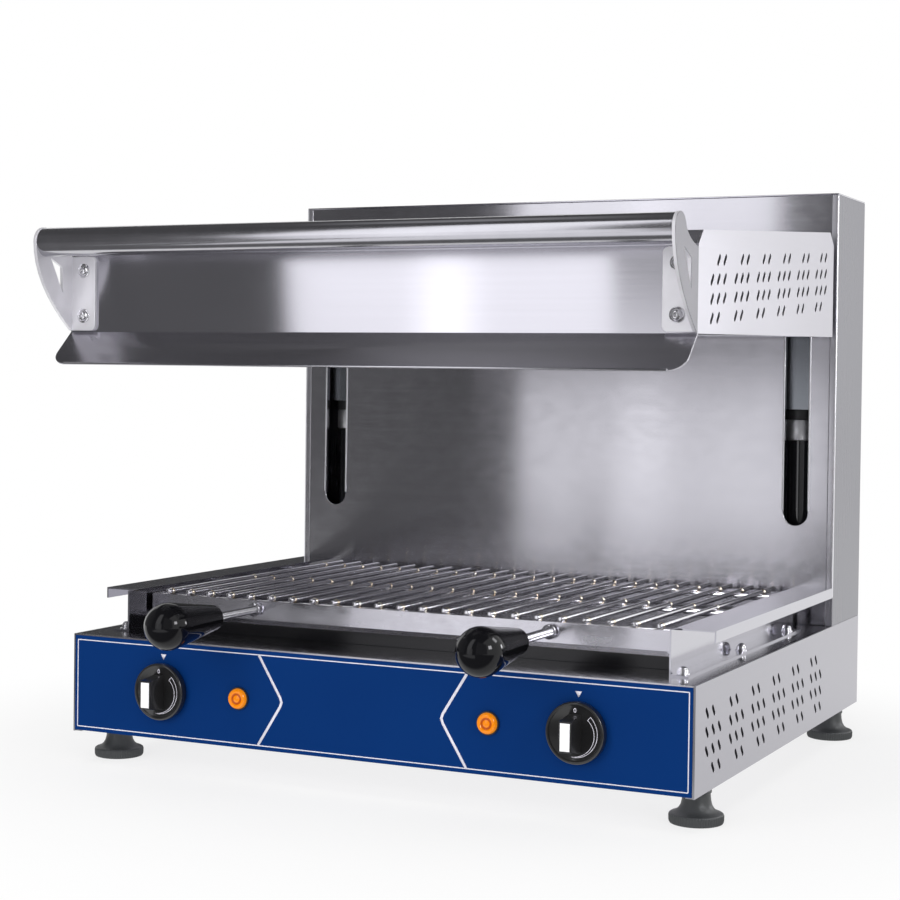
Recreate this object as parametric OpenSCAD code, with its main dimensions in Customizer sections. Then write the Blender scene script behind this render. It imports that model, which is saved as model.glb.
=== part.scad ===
// Lift-head salamander grill: a base housing with controls, a rear column with
// guide rods and gas springs, a heated hood that slides up and down on the
// column, and a rod grid that slides out of two side rails.
// X runs to the right, Y to the rear and Z up. The origin is on the floor, in
// the middle of the footprint. Inside the modules, Y = 0 is the overlay's face.

/* [Housing] */
// Width of the base, the column and the hood
body_w = 600; // [560:1:760]
// Depth of the base from the overlay's face to the rear cover
body_d = 530; // [500:1:620]
// Height of the base housing, without its feet
base_h = 90; // [84:1:120]
// Depth of the rear column
column_d = 107; // [104:1:140]
// Height of the whole grill, from the floor to the column's cap
total_h = 547; // [540:1:640]
// Thickness of the steel sheets
sheet = 1.5; // [1:0.1:2]
// Width of the folded strips along the column's front edges
column_fold = 6.5; // [4:0.5:12]

/* [Feet] */
// Height of the feet under the base
foot_h = 30; // [26:1:50]
// Radius of a foot's disc
foot_r = 23; // [18:0.5:28]
// Radius of a foot's stem
foot_stem_r = 11.5; // [8:0.5:14]
// Radius of a foot's threaded stud
foot_stud_r = 5; // [4:0.5:6]
// Distance from a foot's axis to the base's side
foot_side = 15; // [15:0.5:30]
// Distance from the front feet's axes to the front face
foot_front = 52; // [40:1:80]
// Distance from the rear feet's axes to the rear face
foot_rear = 51; // [40:1:80]

/* [Side slots] */
// Length of a slanted vent slot
slot_len = 11.5; // [8:0.5:12]
// Width of a slanted vent slot
slot_w = 4.2; // [2:0.2:5]
// Lean of a vent slot from the vertical, in degrees
slot_lean = 40; // [10:1:50]
// Spacing of the slots inside one group
slot_pitch = 16.5; // [15:0.5:20]
// Spacing of the slot groups
group_pitch = 63.5; // [60:0.5:70]
// Vertical spacing of the four slot rows
row_pitch = 15.5; // [14:0.5:16]

/* [Hood] */
// Drop of the hood's bottom edge below the column's top, with the hood fully up
hood_drop = 149; // [120:1:152]
// Height of the hood at its front, up to the slope
hood_front_h = 82; // [80:0.5:100]
// Slope of the hood's top and of its slot rows, rising to the rear, in degrees
hood_slope = 3.8; // [0:0.1:5]
// Rise of the hood's bottom edge from its front to its rear
foot_rise = 7; // [0:0.5:9]
// Distance that the hood's face stands in front of the base's face
hood_out = 9; // [0:1:20]
// Gap between the hood's rear panel and the column
hood_gap = 17; // [10:1:25]
// Size of the chamfers at the hood's upper corners
hood_chamfer = 11.5; // [6:0.5:13]
// Travel of the hood from its top stop down
hood_travel = 170; // [120:1:180]
// Forward reach of the slanting visor under the hood's face
visor_reach = 31; // [24:1:45]
// Drop of the visor below the hood's bottom edge
visor_drop = 29; // [15:1:32]
// Corner radius of the visor
visor_r = 15; // [5:1:24]

/* [Hood handle] */
// Radius of the handle tube
tube_r = 12.7; // [10:0.1:16]
// Distance of the tube's axis in front of the hood's face
tube_reach = 43; // [38:1:60]
// Height of the tube's axis above the hood's bottom edge
tube_rise = 79; // [72:1:90]
// Thickness of the handle brackets
bracket_t = 3; // [2:0.5:4]
// Width of a bracket's flange on the hood's face
flange_w = 28.5; // [26:0.5:40]
// Height of a bracket's flange
flange_h = 67; // [60:0.5:68]

/* [Column slots and lift] */
// Distance of each column slot's middle from the grill's side
lift_side = 39; // [36:1:60]
// Width of a column slot
lift_slot_w = 24.5; // [22:0.5:28]
// Height of the slots' lower end above the floor
lift_slot_z = 218; // [200:1:235]
// Depth of the folded edges along the slots
lift_fold = 6.5; // [2:0.5:8]
// Radius of the gas spring cylinders
spring_r = 14; // [12:0.5:15]
// Radius of the gas spring piston rods
piston_rod_r = 7; // [4:0.5:8]
// Radius of the guide rods
guide_r = 6; // [5:0.5:8]
// Distance between each guide rod and the column slot's middle
guide_inset = 61; // [50:1:90]

/* [Grid and rails] */
// Distance of the rails' webs from the grill's side, to their inner faces
rail_side = 35; // [34:1:60]
// Height of the rails above the base
rail_h = 38; // [36:1:60]
// Distance of the rails' front edges behind the base's face
rail_front = 37; // [20:1:50]
// Height of the lips along the rails' outer edges
rail_lip = 10; // [5:0.5:15]
// Width of the ledges that carry the grid
ledge_w = 14; // [8:0.5:18]
// Width of the rails' outward foot flanges
rail_foot_w = 15; // [12:0.5:18]
// Distance of the grid's front strip behind the base's face
grid_front = 70; // [60:1:80]
// Height of the grid's frame strips
grid_strip_h = 18; // [14:0.5:19]
// Radius of the grid rods
rod_r = 2.5; // [2:0.1:2.7]
// Spacing of the grid rods
rod_pitch = 22.2; // [20:0.1:30]
// Number of cross bars under the grid rods
cross_count = 3; // [2:1:6]
// Depth of the drip tray
tray_h = 11; // [6:0.5:11]

/* [Grid handles] */
// Distance of each grid handle from the grill's side
grip_side = 153; // [120:1:180]
// Radius of a grip's ball end
grip_ball_r = 20.5; // [16:0.5:22]
// Radius of a grip's rear end
grip_neck_r = 11.5; // [8:0.5:14]
// Distance of the ball's middle in front of the base's face
grip_ball_out = 74; // [50:1:90]
// Distance of the grip's rear end in front of the base's face
grip_neck_out = 3; // [1:1:10]
// Radius of the handle rods
grip_rod_r = 4; // [3:0.5:5]

/* [Controls] */
// Distance of each dial's axis from the grill's side
dial_side = 99; // [80:1:120]
// Radius of a dial's skirt
dial_r = 25.5; // [20:0.5:30]
// Thickness of a dial's skirt
dial_t = 8; // [5:0.5:10]
// How far a dial's grip bar stands out of the skirt
dial_bar_out = 20; // [12:1:24]
// Width of a dial's grip bar
dial_bar_w = 11; // [8:0.5:14]
// Length of a dial's grip bar at the skirt
dial_bar_len = 31; // [24:1:36]
// Radius of a dial's shaft
shaft_r = 3; // [2.5:0.5:4]
// Distance of each pilot lamp from the dial's axis
lamp_spacing = 80; // [60:1:90]
// Radius of a pilot lamp's collar
lamp_r = 10; // [9:0.5:12]

/* [Heating] */
// Radius of the tubular heating elements
element_r = 4.25; // [3:0.25:5]
// Number of legs in each heating element
element_legs = 6; // [4:2:6]
// Spacing of an element's legs
element_pitch = 45; // [36:1:46]
// Distance of the reflector's mouth from the hood's walls
reflector_rim = 18; // [14:1:20]
// Depth of the reflector above its rim
reflector_deep = 40; // [34:1:44]

/* [Hidden] */
$fn = 48;
// Clearance between pieces that slide past each other, and of a shaft in its bore
slide_gap = 0.3;
shaft_play = 0.1;
// Clearance of a screw in a sheet
screw_gap = 0.2;
// How far a cutting shape runs past the surface that it cuts
cut = 1;
// Main levels above the floor
floor_top = foot_h + 2*sheet;
base_top = foot_h + base_h;
cap_low = total_h - sheet;
// Half widths: outside, inside the side sheets, inside the column's folds
half_w = body_w/2;
inner_x = half_w - sheet;
splash_x = half_w - column_fold;
// Depths of the front, the column's face and the rear cover
film = 0.6;
panel_back = film + sheet;
column_y = body_d - column_d;
splash_y = column_y + 0.5;
splash_back = splash_y + sheet;
back_in = body_d - sheet;
// Controls
control_z = foot_h + base_h/2;
dial_x = half_w - dial_side;
lamp_x = dial_x - lamp_spacing;
neck_r = shaft_r + 2;
lens_r = lamp_r - 4;
lamp_neck_r = lens_r + 1;
dial_back = -1;
skirt_front = dial_back - dial_t;
bar_front = skirt_front - dial_bar_out;
inlay_w = dial_bar_w - 2.5;
inlay_len = dial_bar_len - 8.5;
inlay_t = 0.8;
shaft_end = 16;
gland_x = -0.7*half_w;
gland_z = foot_h + 40;
gland_r = 8;
gland_out = 12;
// Vent slots of the sides
slot_rows = 4;
slots_first = 52;
slots_edge = slot_pitch + 15;
// The hood's bottom edge above the floor, and its section above that edge
hood_z = total_h - hood_drop;
hood_face = -hood_out;
hood_in = hood_face + sheet;
hood_back_y = column_y - hood_gap;
hood_rise = tan(hood_slope);
hood_low_h = hood_front_h - hood_chamfer;
crest_front = hood_face + hood_chamfer;
crest_back = hood_back_y - hood_chamfer - 2;
crest_back_h = hood_front_h + (crest_back - crest_front)*hood_rise;
hood_rear_h = crest_back_h - hood_chamfer;
rear_rate = hood_chamfer/(hood_back_y - crest_back);
// Upright thickness of a sheet on the slope and on the two chamfers
slope_t = sheet/cos(hood_slope);
chamfer_t = sheet*sqrt(2);
rear_chamfer_t = sheet*sqrt(1 + pow(rear_rate, 2));
slot_groups = floor((hood_back_y - slots_edge - hood_face - slots_first)/group_pitch) + 1;
// Hood handle
flange_low = 1.2;
flange_y = hood_face - bracket_t;
bracket_screw_x = half_w - 16;
bracket_screw_r = 2;
bracket_screw_rise = [flange_low + 0.2*flange_h, flange_low + 0.81*flange_h];
// Lift: the carriage plates ride behind the column's front
lift_x = half_w - lift_side;
arm_w = lift_slot_w - 4.5;
arm_low = 20;
arm_top = hood_rear_h - 10;
arm_wall = 3;
lift_slot_top = hood_z + arm_top + 12;
carriage_t = 3;
carriage_y = column_y + 14;
carriage_back = carriage_y + carriage_t;
carriage_low = hood_z - 65;
carriage_top = hood_z + hood_rear_h + 3;
carriage_in = 22;
carriage_out = 12.5;
spring_x = lift_x - 3;
spring_y = carriage_back + spring_r + 2;
spring_bore = spring_r - 1.3;
gland_len = 6;
anchor_h = 8;
anchor_top = floor_top + anchor_h;
spring_low = anchor_top + hood_travel + 1;
piston_z = spring_low + 2*gland_len;
piston_t = 8;
spring_bore_top = max(hood_z + 3, piston_z + piston_t + hood_travel + 2);
spring_top = spring_bore_top + gland_len;
ring_h = 10;
ring_wall = 3;
ring_low = carriage_low - ring_h;
clamp_h = 21;
clamp_low = ring_low - clamp_h;
beam_x = spring_x - spring_r - 1;
beam_low = hood_z + 30;
beam_h = 45;
beam_d = 30;
beam_wall = 2.5;
guide_x = lift_x - guide_inset;
guide_y = carriage_back + beam_d/2;
bush_r = guide_r + 5;
bush_low = beam_low - 1.5*beam_h;
bush_top = beam_low + beam_h + 5;
// Rails and grid
rail_x = half_w - rail_side;
rail_top = base_top + rail_h;
rail_back = column_y - 49;
rail_plate_y = rail_front + 14;
rail_bolt_r = 2.5;
grid_top = rail_top - 5;
grid_low = grid_top - grid_strip_h;
ledge_top = grid_low - slide_gap;
grid_half = rail_x - 3.5;
grid_wall = 2;
grid_back = column_y - 13;
cross_r = 3;
rods_each_side = floor((grid_half - rod_r)/rod_pitch);
grip_x = half_w - grip_side;
grip_z = rail_top - 13;
grip_socket = 22;
tray_half = rail_x - 2;
tray_front = grid_front + 1;
tray_back = column_y - 8;
tray_wall = 1.2;
// Reflector and elements, measured from the hood's bottom edge
rim_h = 8;
reflector_t = 1.2;
mouth_x = inner_x - reflector_rim;
mouth_front = hood_in + reflector_rim;
mouth_back = hood_back_y - sheet - reflector_rim;
element_h = rim_h + 14;
element_gap = 14;
bend_r = element_pitch/2;
leg_front = mouth_front + element_gap + bend_r;
leg_back = mouth_back - element_gap - bend_r;
leg_end = mouth_back + reflector_t + 9;
first_leg_x = mouth_x - element_gap - 6;
// Footprint: the grips stand out in front, the cable gland behind
y_mid = (body_d + gland_out - grip_ball_out - grip_ball_r)/2;

steel = [0.78, 0.79, 0.81];
dark_steel = [0.45, 0.46, 0.48];
bright = [0.9, 0.9, 0.92];
black = [0.08, 0.08, 0.09];
ivory = [0.86, 0.85, 0.82];
blue = [0.02, 0.18, 0.46];
amber = [0.98, 0.55, 0.1];

// ---------------------------------------------------------------- helpers

// A box from its lower corner to its upper corner
module box(low, high) {
  translate(low) cube(high - low);
}

// The same child on the right and on the left
module both_sides() {
  children();
  mirror([1, 0, 0]) children();
}

// A child that is drawn for the right, mirrored when it is wanted on the left
module on_side(right) {
  if (right) children();
  else mirror([1, 0, 0]) children();
}

// A Y-Z outline pulled along X from x_from to x_to
module pulled_x(x_from, x_to) {
  translate([x_from, 0, 0]) rotate([90, 0, 90]) linear_extrude(x_to - x_from) children();
}

// Round bars along X, Y and Z
module bar_x(x_from, x_to, y, z, r) {
  translate([x_from, y, z]) rotate([0, 90, 0]) cylinder(h = x_to - x_from, r = r);
}

module bar_y(y_from, y_to, x, z, r) {
  translate([x, y_from, z]) rotate([-90, 0, 0]) cylinder(h = y_to - y_from, r = r);
}

module bar_z(z_from, z_to, x, y, r) {
  translate([x, y, z_from]) cylinder(h = z_to - z_from, r = r);
}

// Points of a curve from a to c that bends toward b
function bend(a, b, c) = let (steps = 8)
  [for (i = [0 : steps]) let (t = i/steps) pow(1 - t, 2)*a + 2*t*(1 - t)*b + pow(t, 2)*c];

// One vent slot with round ends, upright in 2D, turned by its lean
module vent_slot(lean) {
  straight = slot_len - slot_w;
  rotate(lean) {
    square([slot_w, straight], center = true);
    for (end = [-1, 1]) translate([0, end*straight/2]) circle(d = slot_w, $fn = 16);
  }
}

// Four rows of slot groups, two slots in the outer rows and three in the middle
// rows. The lowest row lacks its slot on short_side, the highest on the other.
module slot_field(y_first, z_first, rise, lean, short_side) {
  for (row = [0 : slot_rows - 1], group = [0 : slot_groups - 1], column = [-1 : 1]) {
    lacks = row == 0 ? short_side : row == slot_rows - 1 ? -short_side : 0;
    y = y_first + group*group_pitch + column*slot_pitch;
    z = z_first + row*row_pitch + (y - y_first)*rise;
    if (lacks == 0 || column != lacks) translate([y, z]) vent_slot(lean);
  }
}

// ---------------------------------------------------------------- base

module base_side(right) {
  foot_fold = 8;
  low_row = control_z - (slot_rows - 1)*row_pitch/2 - 4;
  color(steel) on_side(right) difference() {
    union() {
      box([inner_x, film, foot_h], [half_w, body_d, base_top]);
      box([half_w - foot_fold, panel_back, foot_h], [half_w, body_d, foot_h + sheet]);
    }
    pulled_x(inner_x - cut, half_w + cut) slot_field(slots_first - 5, low_row, 0, slot_lean, -1);
  }
}

module base_top_plate() {
  color(steel) difference() {
    box([-inner_x, panel_back, base_top - sheet], [inner_x, splash_back, base_top]);
    both_sides() for (y = rail_bolt_y)
      bar_z(base_top - sheet - cut, base_top + cut, rail_bolt_x, y, rail_bolt_r + screw_gap);
  }
}

module base_floor() {
  vent = [40, 6];
  vent_rows = 5;
  vent_x = inner_x/3;
  stud_y = [foot_front, body_d - foot_rear];
  color(steel) difference() {
    box([-inner_x, panel_back, foot_h + sheet], [inner_x, back_in, floor_top]);
    both_sides() {
      for (y = stud_y)
        bar_z(foot_h, floor_top + cut, half_w - foot_side, y, foot_stud_r + slide_gap);
      for (i = [0 : vent_rows - 1])
        translate([vent_x, body_d/2 + (i - (vent_rows - 1)/2)*3*vent[1], floor_top])
          cube([vent[0], vent[1], 4*sheet], center = true);
    }
  }
}

module control_holes() {
  both_sides() {
    bar_y(-cut, panel_back + cut, dial_x, control_z, neck_r);
    bar_y(-cut, panel_back + cut, lamp_x, control_z, lamp_neck_r);
  }
}

module front_panel() {
  color(steel) difference() {
    box([-inner_x, film, foot_h + sheet], [inner_x, panel_back, base_top]);
    control_holes();
  }
}

module control_overlay() {
  side_edge = 2;
  edge = 1.3;
  color(blue) difference() {
    box([-half_w + side_edge, 0, foot_h + edge], [half_w - side_edge, film, base_top - edge]);
    control_holes();
  }
}

module rear_cover() {
  louvre = [60, 4];
  louvre_count = 6;
  louvre_x = inner_x/2;
  color(steel) difference() {
    box([-inner_x, back_in, foot_h + sheet], [inner_x, body_d, cap_low]);
    bar_y(back_in - cut, body_d + cut, gland_x, gland_z, gland_r);
    both_sides() for (i = [0 : louvre_count - 1])
      translate([louvre_x, back_in, cap_low - 50 - i*3*louvre[1]])
        cube([louvre[0], 4*sheet, louvre[1]], center = true);
  }
}

module cable_gland() {
  nut_t = 5;
  nut_r = gland_r + 4;
  cable_r = gland_r - 3;
  color(black) difference() {
    union() {
      bar_y(back_in - nut_t, body_d + gland_out, gland_x, gland_z, gland_r);
      bar_y(back_in - nut_t, back_in, gland_x, gland_z, nut_r);
      bar_y(body_d, body_d + nut_t, gland_x, gland_z, nut_r);
    }
    bar_y(back_in - nut_t - cut, body_d + gland_out + cut, gland_x, gland_z, cable_r);
  }
}

module terminal_block() {
  ways = 5;
  way = [12, 24, 22];
  screw_well = 10;
  color(ivory) translate([gland_x - ways*way[0]/2, column_y - 60, floor_top]) difference() {
    cube([ways*way[0], way[1], way[2]]);
    for (i = [0 : ways - 1])
      bar_z(way[2] - screw_well, way[2] + cut, (i + 0.5)*way[0], way[1]/2, 3.5);
  }
}

module heat_regulators() {
  case_x = 22;
  case_z = 20;
  case_d = 34;
  color(ivory) both_sides() difference() {
    union() {
      box([dial_x - case_x, panel_back, control_z - case_z],
          [dial_x + case_x, panel_back + case_d, control_z + case_z]);
      bar_y(0, panel_back, dial_x, control_z, neck_r);
    }
    bar_y(-cut, shaft_end + 3, dial_x, control_z, shaft_r + shaft_play);
  }
}

// A pilot lamp: a collar on the overlay, a neck through the panel and a nut
module pilot_bodies() {
  collar_out = 2;
  nut_t = 4;
  neck_len = 26;
  color(black) both_sides() difference() {
    union() {
      bar_y(-collar_out, 0, lamp_x, control_z, lamp_r);
      bar_y(-collar_out, neck_len, lamp_x, control_z, lamp_neck_r);
      bar_y(panel_back, panel_back + nut_t, lamp_x, control_z, lamp_neck_r + 2.5);
    }
    bar_y(-collar_out - cut, 8, lamp_x, control_z, lens_r);
  }
}

module pilot_lenses() {
  collar_out = 2;
  dome_out = 4;
  color(amber) both_sides() {
    bar_y(-collar_out, 8, lamp_x, control_z, lens_r);
    translate([lamp_x, -collar_out, control_z]) rotate([90, 0, 0])
      cylinder(h = dome_out, r1 = lamp_r - 1, r2 = lamp_r - 3);
  }
}

// A levelling foot: flaring disc, ringed stem and threaded stud
module foot(right, y) {
  disc_t = 8;
  flare_t = 7;
  ring_t = 2;
  stud_out = 12;
  color(black) on_side(right) translate([half_w - foot_side, y, 0]) {
    cylinder(h = disc_t, r = foot_r);
    translate([0, 0, disc_t]) cylinder(h = flare_t, r1 = foot_r - 1.5, r2 = foot_stem_r);
    cylinder(h = foot_h - slide_gap, r = foot_stem_r);
    translate([0, 0, foot_h - slide_gap - 2*ring_t]) cylinder(h = ring_t, r = foot_stem_r + 1);
    cylinder(h = floor_top + stud_out, r = foot_stud_r);
  }
}

// ---------------------------------------------------------------- column

// Splash front with two long slots, whose edges are folded into the column
module column_splash() {
  half_slot = lift_slot_w/2;
  round_z = lift_slot_z + half_slot;
  color(steel) difference() {
    union() {
      box([-splash_x, splash_y, base_top], [splash_x, splash_back, cap_low]);
      both_sides() box([lift_x - half_slot - sheet, splash_y, round_z],
                       [lift_x + half_slot + sheet, splash_y + lift_fold, lift_slot_top]);
    }
    both_sides() {
      box([lift_x - half_slot, splash_y - cut, round_z],
          [lift_x + half_slot, splash_y + lift_fold + cut, lift_slot_top]);
      bar_y(splash_y - cut, splash_back + cut, lift_x, round_z, half_slot);
    }
  }
}

module column_side(right) {
  color(steel) on_side(right) {
    box([inner_x, column_y, base_top], [half_w, body_d, cap_low]);
    box([splash_x, column_y, base_top], [half_w, column_y + sheet, cap_low]);
  }
}

module column_cap() {
  color(steel) box([-half_w, column_y, cap_low], [half_w, body_d, total_h]);
}

module guide_rods() {
  color(bright) both_sides() bar_z(floor_top, cap_low, guide_x, guide_y, guide_r);
}

module guide_rod_blocks() {
  block = [28, 28, 14];
  color(dark_steel) both_sides() for (z = [floor_top, cap_low - block[2]]) difference() {
    translate([guide_x, guide_y, z] - [block[0]/2, block[1]/2, 0]) cube(block);
    bar_z(z - cut, z + block[2] + cut, guide_x, guide_y, guide_r);
  }
}

module piston_rods() {
  color(bright) both_sides() {
    bar_z(floor_top, piston_z, spring_x, spring_y, piston_rod_r);
    bar_z(piston_z, piston_z + piston_t, spring_x, spring_y, spring_bore - slide_gap);
  }
}

module piston_rod_anchors() {
  half = 13;
  color(dark_steel) both_sides() difference() {
    box([spring_x - half, spring_y - half, floor_top], [spring_x + half, spring_y + half, anchor_top]);
    bar_z(floor_top - cut, anchor_top + cut, spring_x, spring_y, piston_rod_r);
  }
}

// ---------------------------------------------------------------- rails and grid

rail_bolt_x = rail_x + sheet + rail_foot_w/2;
rail_bolt_y = [rail_front + 9, (rail_front + rail_back)/2, rail_back - 20];

// Side rail: outward foot flange, upright web, inner ledge that carries the grid,
// and a top plate that ends in an outer lip
module rail(right) {
  web_x = rail_x + sheet;
  color(steel) on_side(right) difference() {
    union() {
      box([rail_x, rail_front, base_top], [web_x, rail_back, rail_top]);
      box([rail_x, rail_front, base_top], [web_x + rail_foot_w, rail_back, base_top + sheet]);
      box([rail_x - ledge_w, grid_front + grid_wall + 1, ledge_top - sheet], [rail_x, rail_back, ledge_top]);
      box([rail_x, rail_plate_y, rail_top - sheet], [half_w, column_y, rail_top]);
      box([inner_x, rail_plate_y, rail_top - rail_lip], [half_w, column_y, rail_top]);
    }
    for (y = rail_bolt_y)
      bar_z(base_top - cut, base_top + sheet + cut, rail_bolt_x, y, rail_bolt_r + screw_gap);
  }
}

// Bolts from inside the base, with a washer and a nut on the foot flange
module rail_bolts() {
  head = [4.5, 2];
  washer = [5.5, 1];
  nut = [4.6, 4];
  seat = base_top + sheet;
  low = base_top - sheet;
  nut_z = seat + washer[1];
  color(bright) both_sides() for (y = rail_bolt_y) {
    bar_z(low - head[1], low, rail_bolt_x, y, head[0]);
    bar_z(low - head[1], nut_z + nut[1] + 1.5, rail_bolt_x, y, rail_bolt_r);
    bar_z(seat, nut_z, rail_bolt_x, y, washer[0]);
    translate([rail_bolt_x, y, nut_z]) cylinder(h = nut[1], r = nut[0], $fn = 6);
  }
}

module drip_tray() {
  color(black) difference() {
    box([-tray_half, tray_front, base_top], [tray_half, tray_back, base_top + tray_h]);
    box([-tray_half + tray_wall, tray_front + tray_wall, base_top + tray_wall],
        [tray_half - tray_wall, tray_back - tray_wall, base_top + tray_h + cut]);
  }
}

module grid_frame() {
  color(steel) difference() {
    box([-grid_half, grid_front, grid_low], [grid_half, grid_back, grid_top]);
    box([-grid_half + grid_wall, grid_front + grid_wall, grid_low - cut],
        [grid_half - grid_wall, grid_back - grid_wall, grid_top + cut]);
  }
}

module grid_rods() {
  color(bright) for (i = [-rods_each_side : rods_each_side])
    bar_y(grid_front, grid_back, i*rod_pitch, grid_top + rod_r, rod_r);
}

module grid_cross_bars() {
  end_x = grid_half - grid_wall;
  first = grid_front + grid_wall + cross_r + 2;
  last = grid_back - (grid_back - grid_front)/9;
  color(bright) for (i = [0 : cross_count - 1])
    bar_x(-end_x, end_x, first + i*(last - first)/(cross_count - 1), grid_top - cross_r, cross_r);
}

module grid_handle_rods() {
  collar_len = 6;
  color(bright) both_sides() {
    bar_y(-grip_neck_out - grip_socket, grid_front, grip_x, grip_z, grip_rod_r);
    bar_y(grid_front - collar_len, grid_front, grip_x, grip_z, grip_rod_r + 2.5);
  }
}

// Ball-ended grip: a cone that widens to the front and ends in a ball
module grid_grips() {
  cone_len = grip_ball_out - grip_neck_out;
  color(black) both_sides() translate([grip_x, -grip_neck_out, grip_z]) rotate([90, 0, 0]) difference() {
    union() {
      cylinder(h = cone_len, r1 = grip_neck_r, r2 = grip_ball_r);
      translate([0, 0, cone_len]) sphere(r = grip_ball_r);
    }
    translate([0, 0, -cut]) cylinder(h = grip_socket + cut, r = grip_rod_r);
  }
}

// ---------------------------------------------------------------- dials

// A bevelled skirt with a tapered grip bar, bored for its shaft
module dial(right) {
  bevel = 2.5;
  bar_taper = 3;
  half_len = dial_bar_len/2;
  half_inlay = [inlay_w/2, inlay_len/2];
  color(black) on_side(right) translate([dial_x, 0, control_z]) difference() {
    union() {
      bar_y(skirt_front + bevel, dial_back, 0, 0, dial_r);
      translate([0, skirt_front + bevel, 0]) rotate([90, 0, 0])
        cylinder(h = bevel, r1 = dial_r, r2 = dial_r - bevel);
      pulled_x(-dial_bar_w/2, dial_bar_w/2)
        polygon([[skirt_front + 1, -half_len], [skirt_front + 1, half_len],
                 [bar_front, half_len - bar_taper], [bar_front, bar_taper - half_len]]);
    }
    bar_y(skirt_front, cut, 0, 0, shaft_r);
    box([-half_inlay[0], bar_front - cut, -half_inlay[1]], [half_inlay[0], bar_front + inlay_t, half_inlay[1]]);
  }
}

module dial_inlay(right) {
  color(bright) on_side(right) translate([dial_x, bar_front, control_z])
    box([-inlay_w/2, 0, -inlay_len/2], [inlay_w/2, inlay_t, inlay_len/2]);
}

module dial_shaft(right) {
  color(bright) on_side(right) bar_y(skirt_front, shaft_end, dial_x, control_z, shaft_r);
}

// ---------------------------------------------------------------- hood

// Height above the floor of a point that lies h above the hood's bottom edge
function hood(h) = hood_z + h;

module bracket_screw_holes() {
  both_sides() for (h = bracket_screw_rise)
    bar_y(flange_y - cut, hood_in + cut, bracket_screw_x, hood(h), bracket_screw_r + screw_gap);
}

module hood_front() {
  mitre = sheet*tan(22.5);
  color(steel) difference() {
    pulled_x(-inner_x, inner_x)
      polygon([[hood_face, hood(0)], [hood_face, hood(hood_low_h)], [crest_front, hood(hood_front_h)],
               [crest_front, hood(hood_front_h) - chamfer_t],
               [hood_in, hood(hood_low_h) - mitre], [hood_in, hood(0)]]);
    bracket_screw_holes();
  }
}

module hood_side(right) {
  low_row = 14;
  color(steel) on_side(right) difference() {
    pulled_x(inner_x, half_w)
      polygon([[hood_face, hood(0)], [hood_face, hood(hood_low_h)], [crest_front, hood(hood_front_h)],
               [crest_back, hood(crest_back_h)], [hood_back_y, hood(hood_rear_h)],
               [hood_back_y, hood(foot_rise)]]);
    pulled_x(inner_x - cut, half_w + cut)
      slot_field(hood_face + slots_first, hood(low_row), hood_rise, -slot_lean, 1);
  }
}

module hood_top() {
  bend_t = (slope_t + rear_chamfer_t)/2;
  color(steel) pulled_x(-inner_x, inner_x)
    polygon([[crest_front, hood(hood_front_h)], [crest_back, hood(crest_back_h)],
             [hood_back_y, hood(hood_rear_h)], [hood_back_y, hood(hood_rear_h) - rear_chamfer_t],
             [crest_back, hood(crest_back_h) - bend_t], [crest_front, hood(hood_front_h) - slope_t]]);
}

// Its top edge follows the underside of the rear chamfer
module hood_rear() {
  bend_t = (slope_t + rear_chamfer_t)/2;
  under_rate = (hood_chamfer + rear_chamfer_t - bend_t)/(hood_back_y - crest_back);
  corner = hood(hood_rear_h) - rear_chamfer_t;
  color(steel) pulled_x(-inner_x, inner_x)
    polygon([[hood_back_y - sheet, hood(foot_rise)], [hood_back_y, hood(foot_rise)], [hood_back_y, corner],
             [hood_back_y - sheet, corner + sheet*under_rate]]);
}

// A slanting plate with round lower corners, and a fold behind the hood's face
module visor() {
  slope_len = norm([visor_reach, visor_drop]);
  edge_y = hood_face - visor_reach;
  edge_z = hood(-visor_drop);
  under_step = sheet*[visor_drop, -visor_reach]/slope_len;
  under_y = hood_face + sheet*slope_len/visor_drop;
  fold_h = rim_h - 0.5;
  straight = slope_len - visor_r;
  inside = 5;
  knee = 0.5;
  color(dark_steel) {
    box([-inner_x, hood_in, hood(-knee)], [inner_x, hood_in + sheet, hood(fold_h)]);
    intersection() {
      pulled_x(-half_w, half_w)
        polygon([[hood_face, hood(0)], [edge_y, edge_z], [edge_y, edge_z] + under_step, [under_y, hood(0)]]);
      translate([0, hood_face, hood(0)]) rotate([180 + atan2(visor_drop, visor_reach), 0, 0])
        translate([0, 0, -inside]) linear_extrude(2*inside) {
          translate([-half_w, -inside]) square([2*half_w, straight + inside]);
          translate([visor_r - half_w, -inside]) square([2*(half_w - visor_r), slope_len + inside]);
          for (side = [-1, 1]) translate([side*(half_w - visor_r), straight]) circle(r = visor_r);
        }
    }
  }
}

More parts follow.
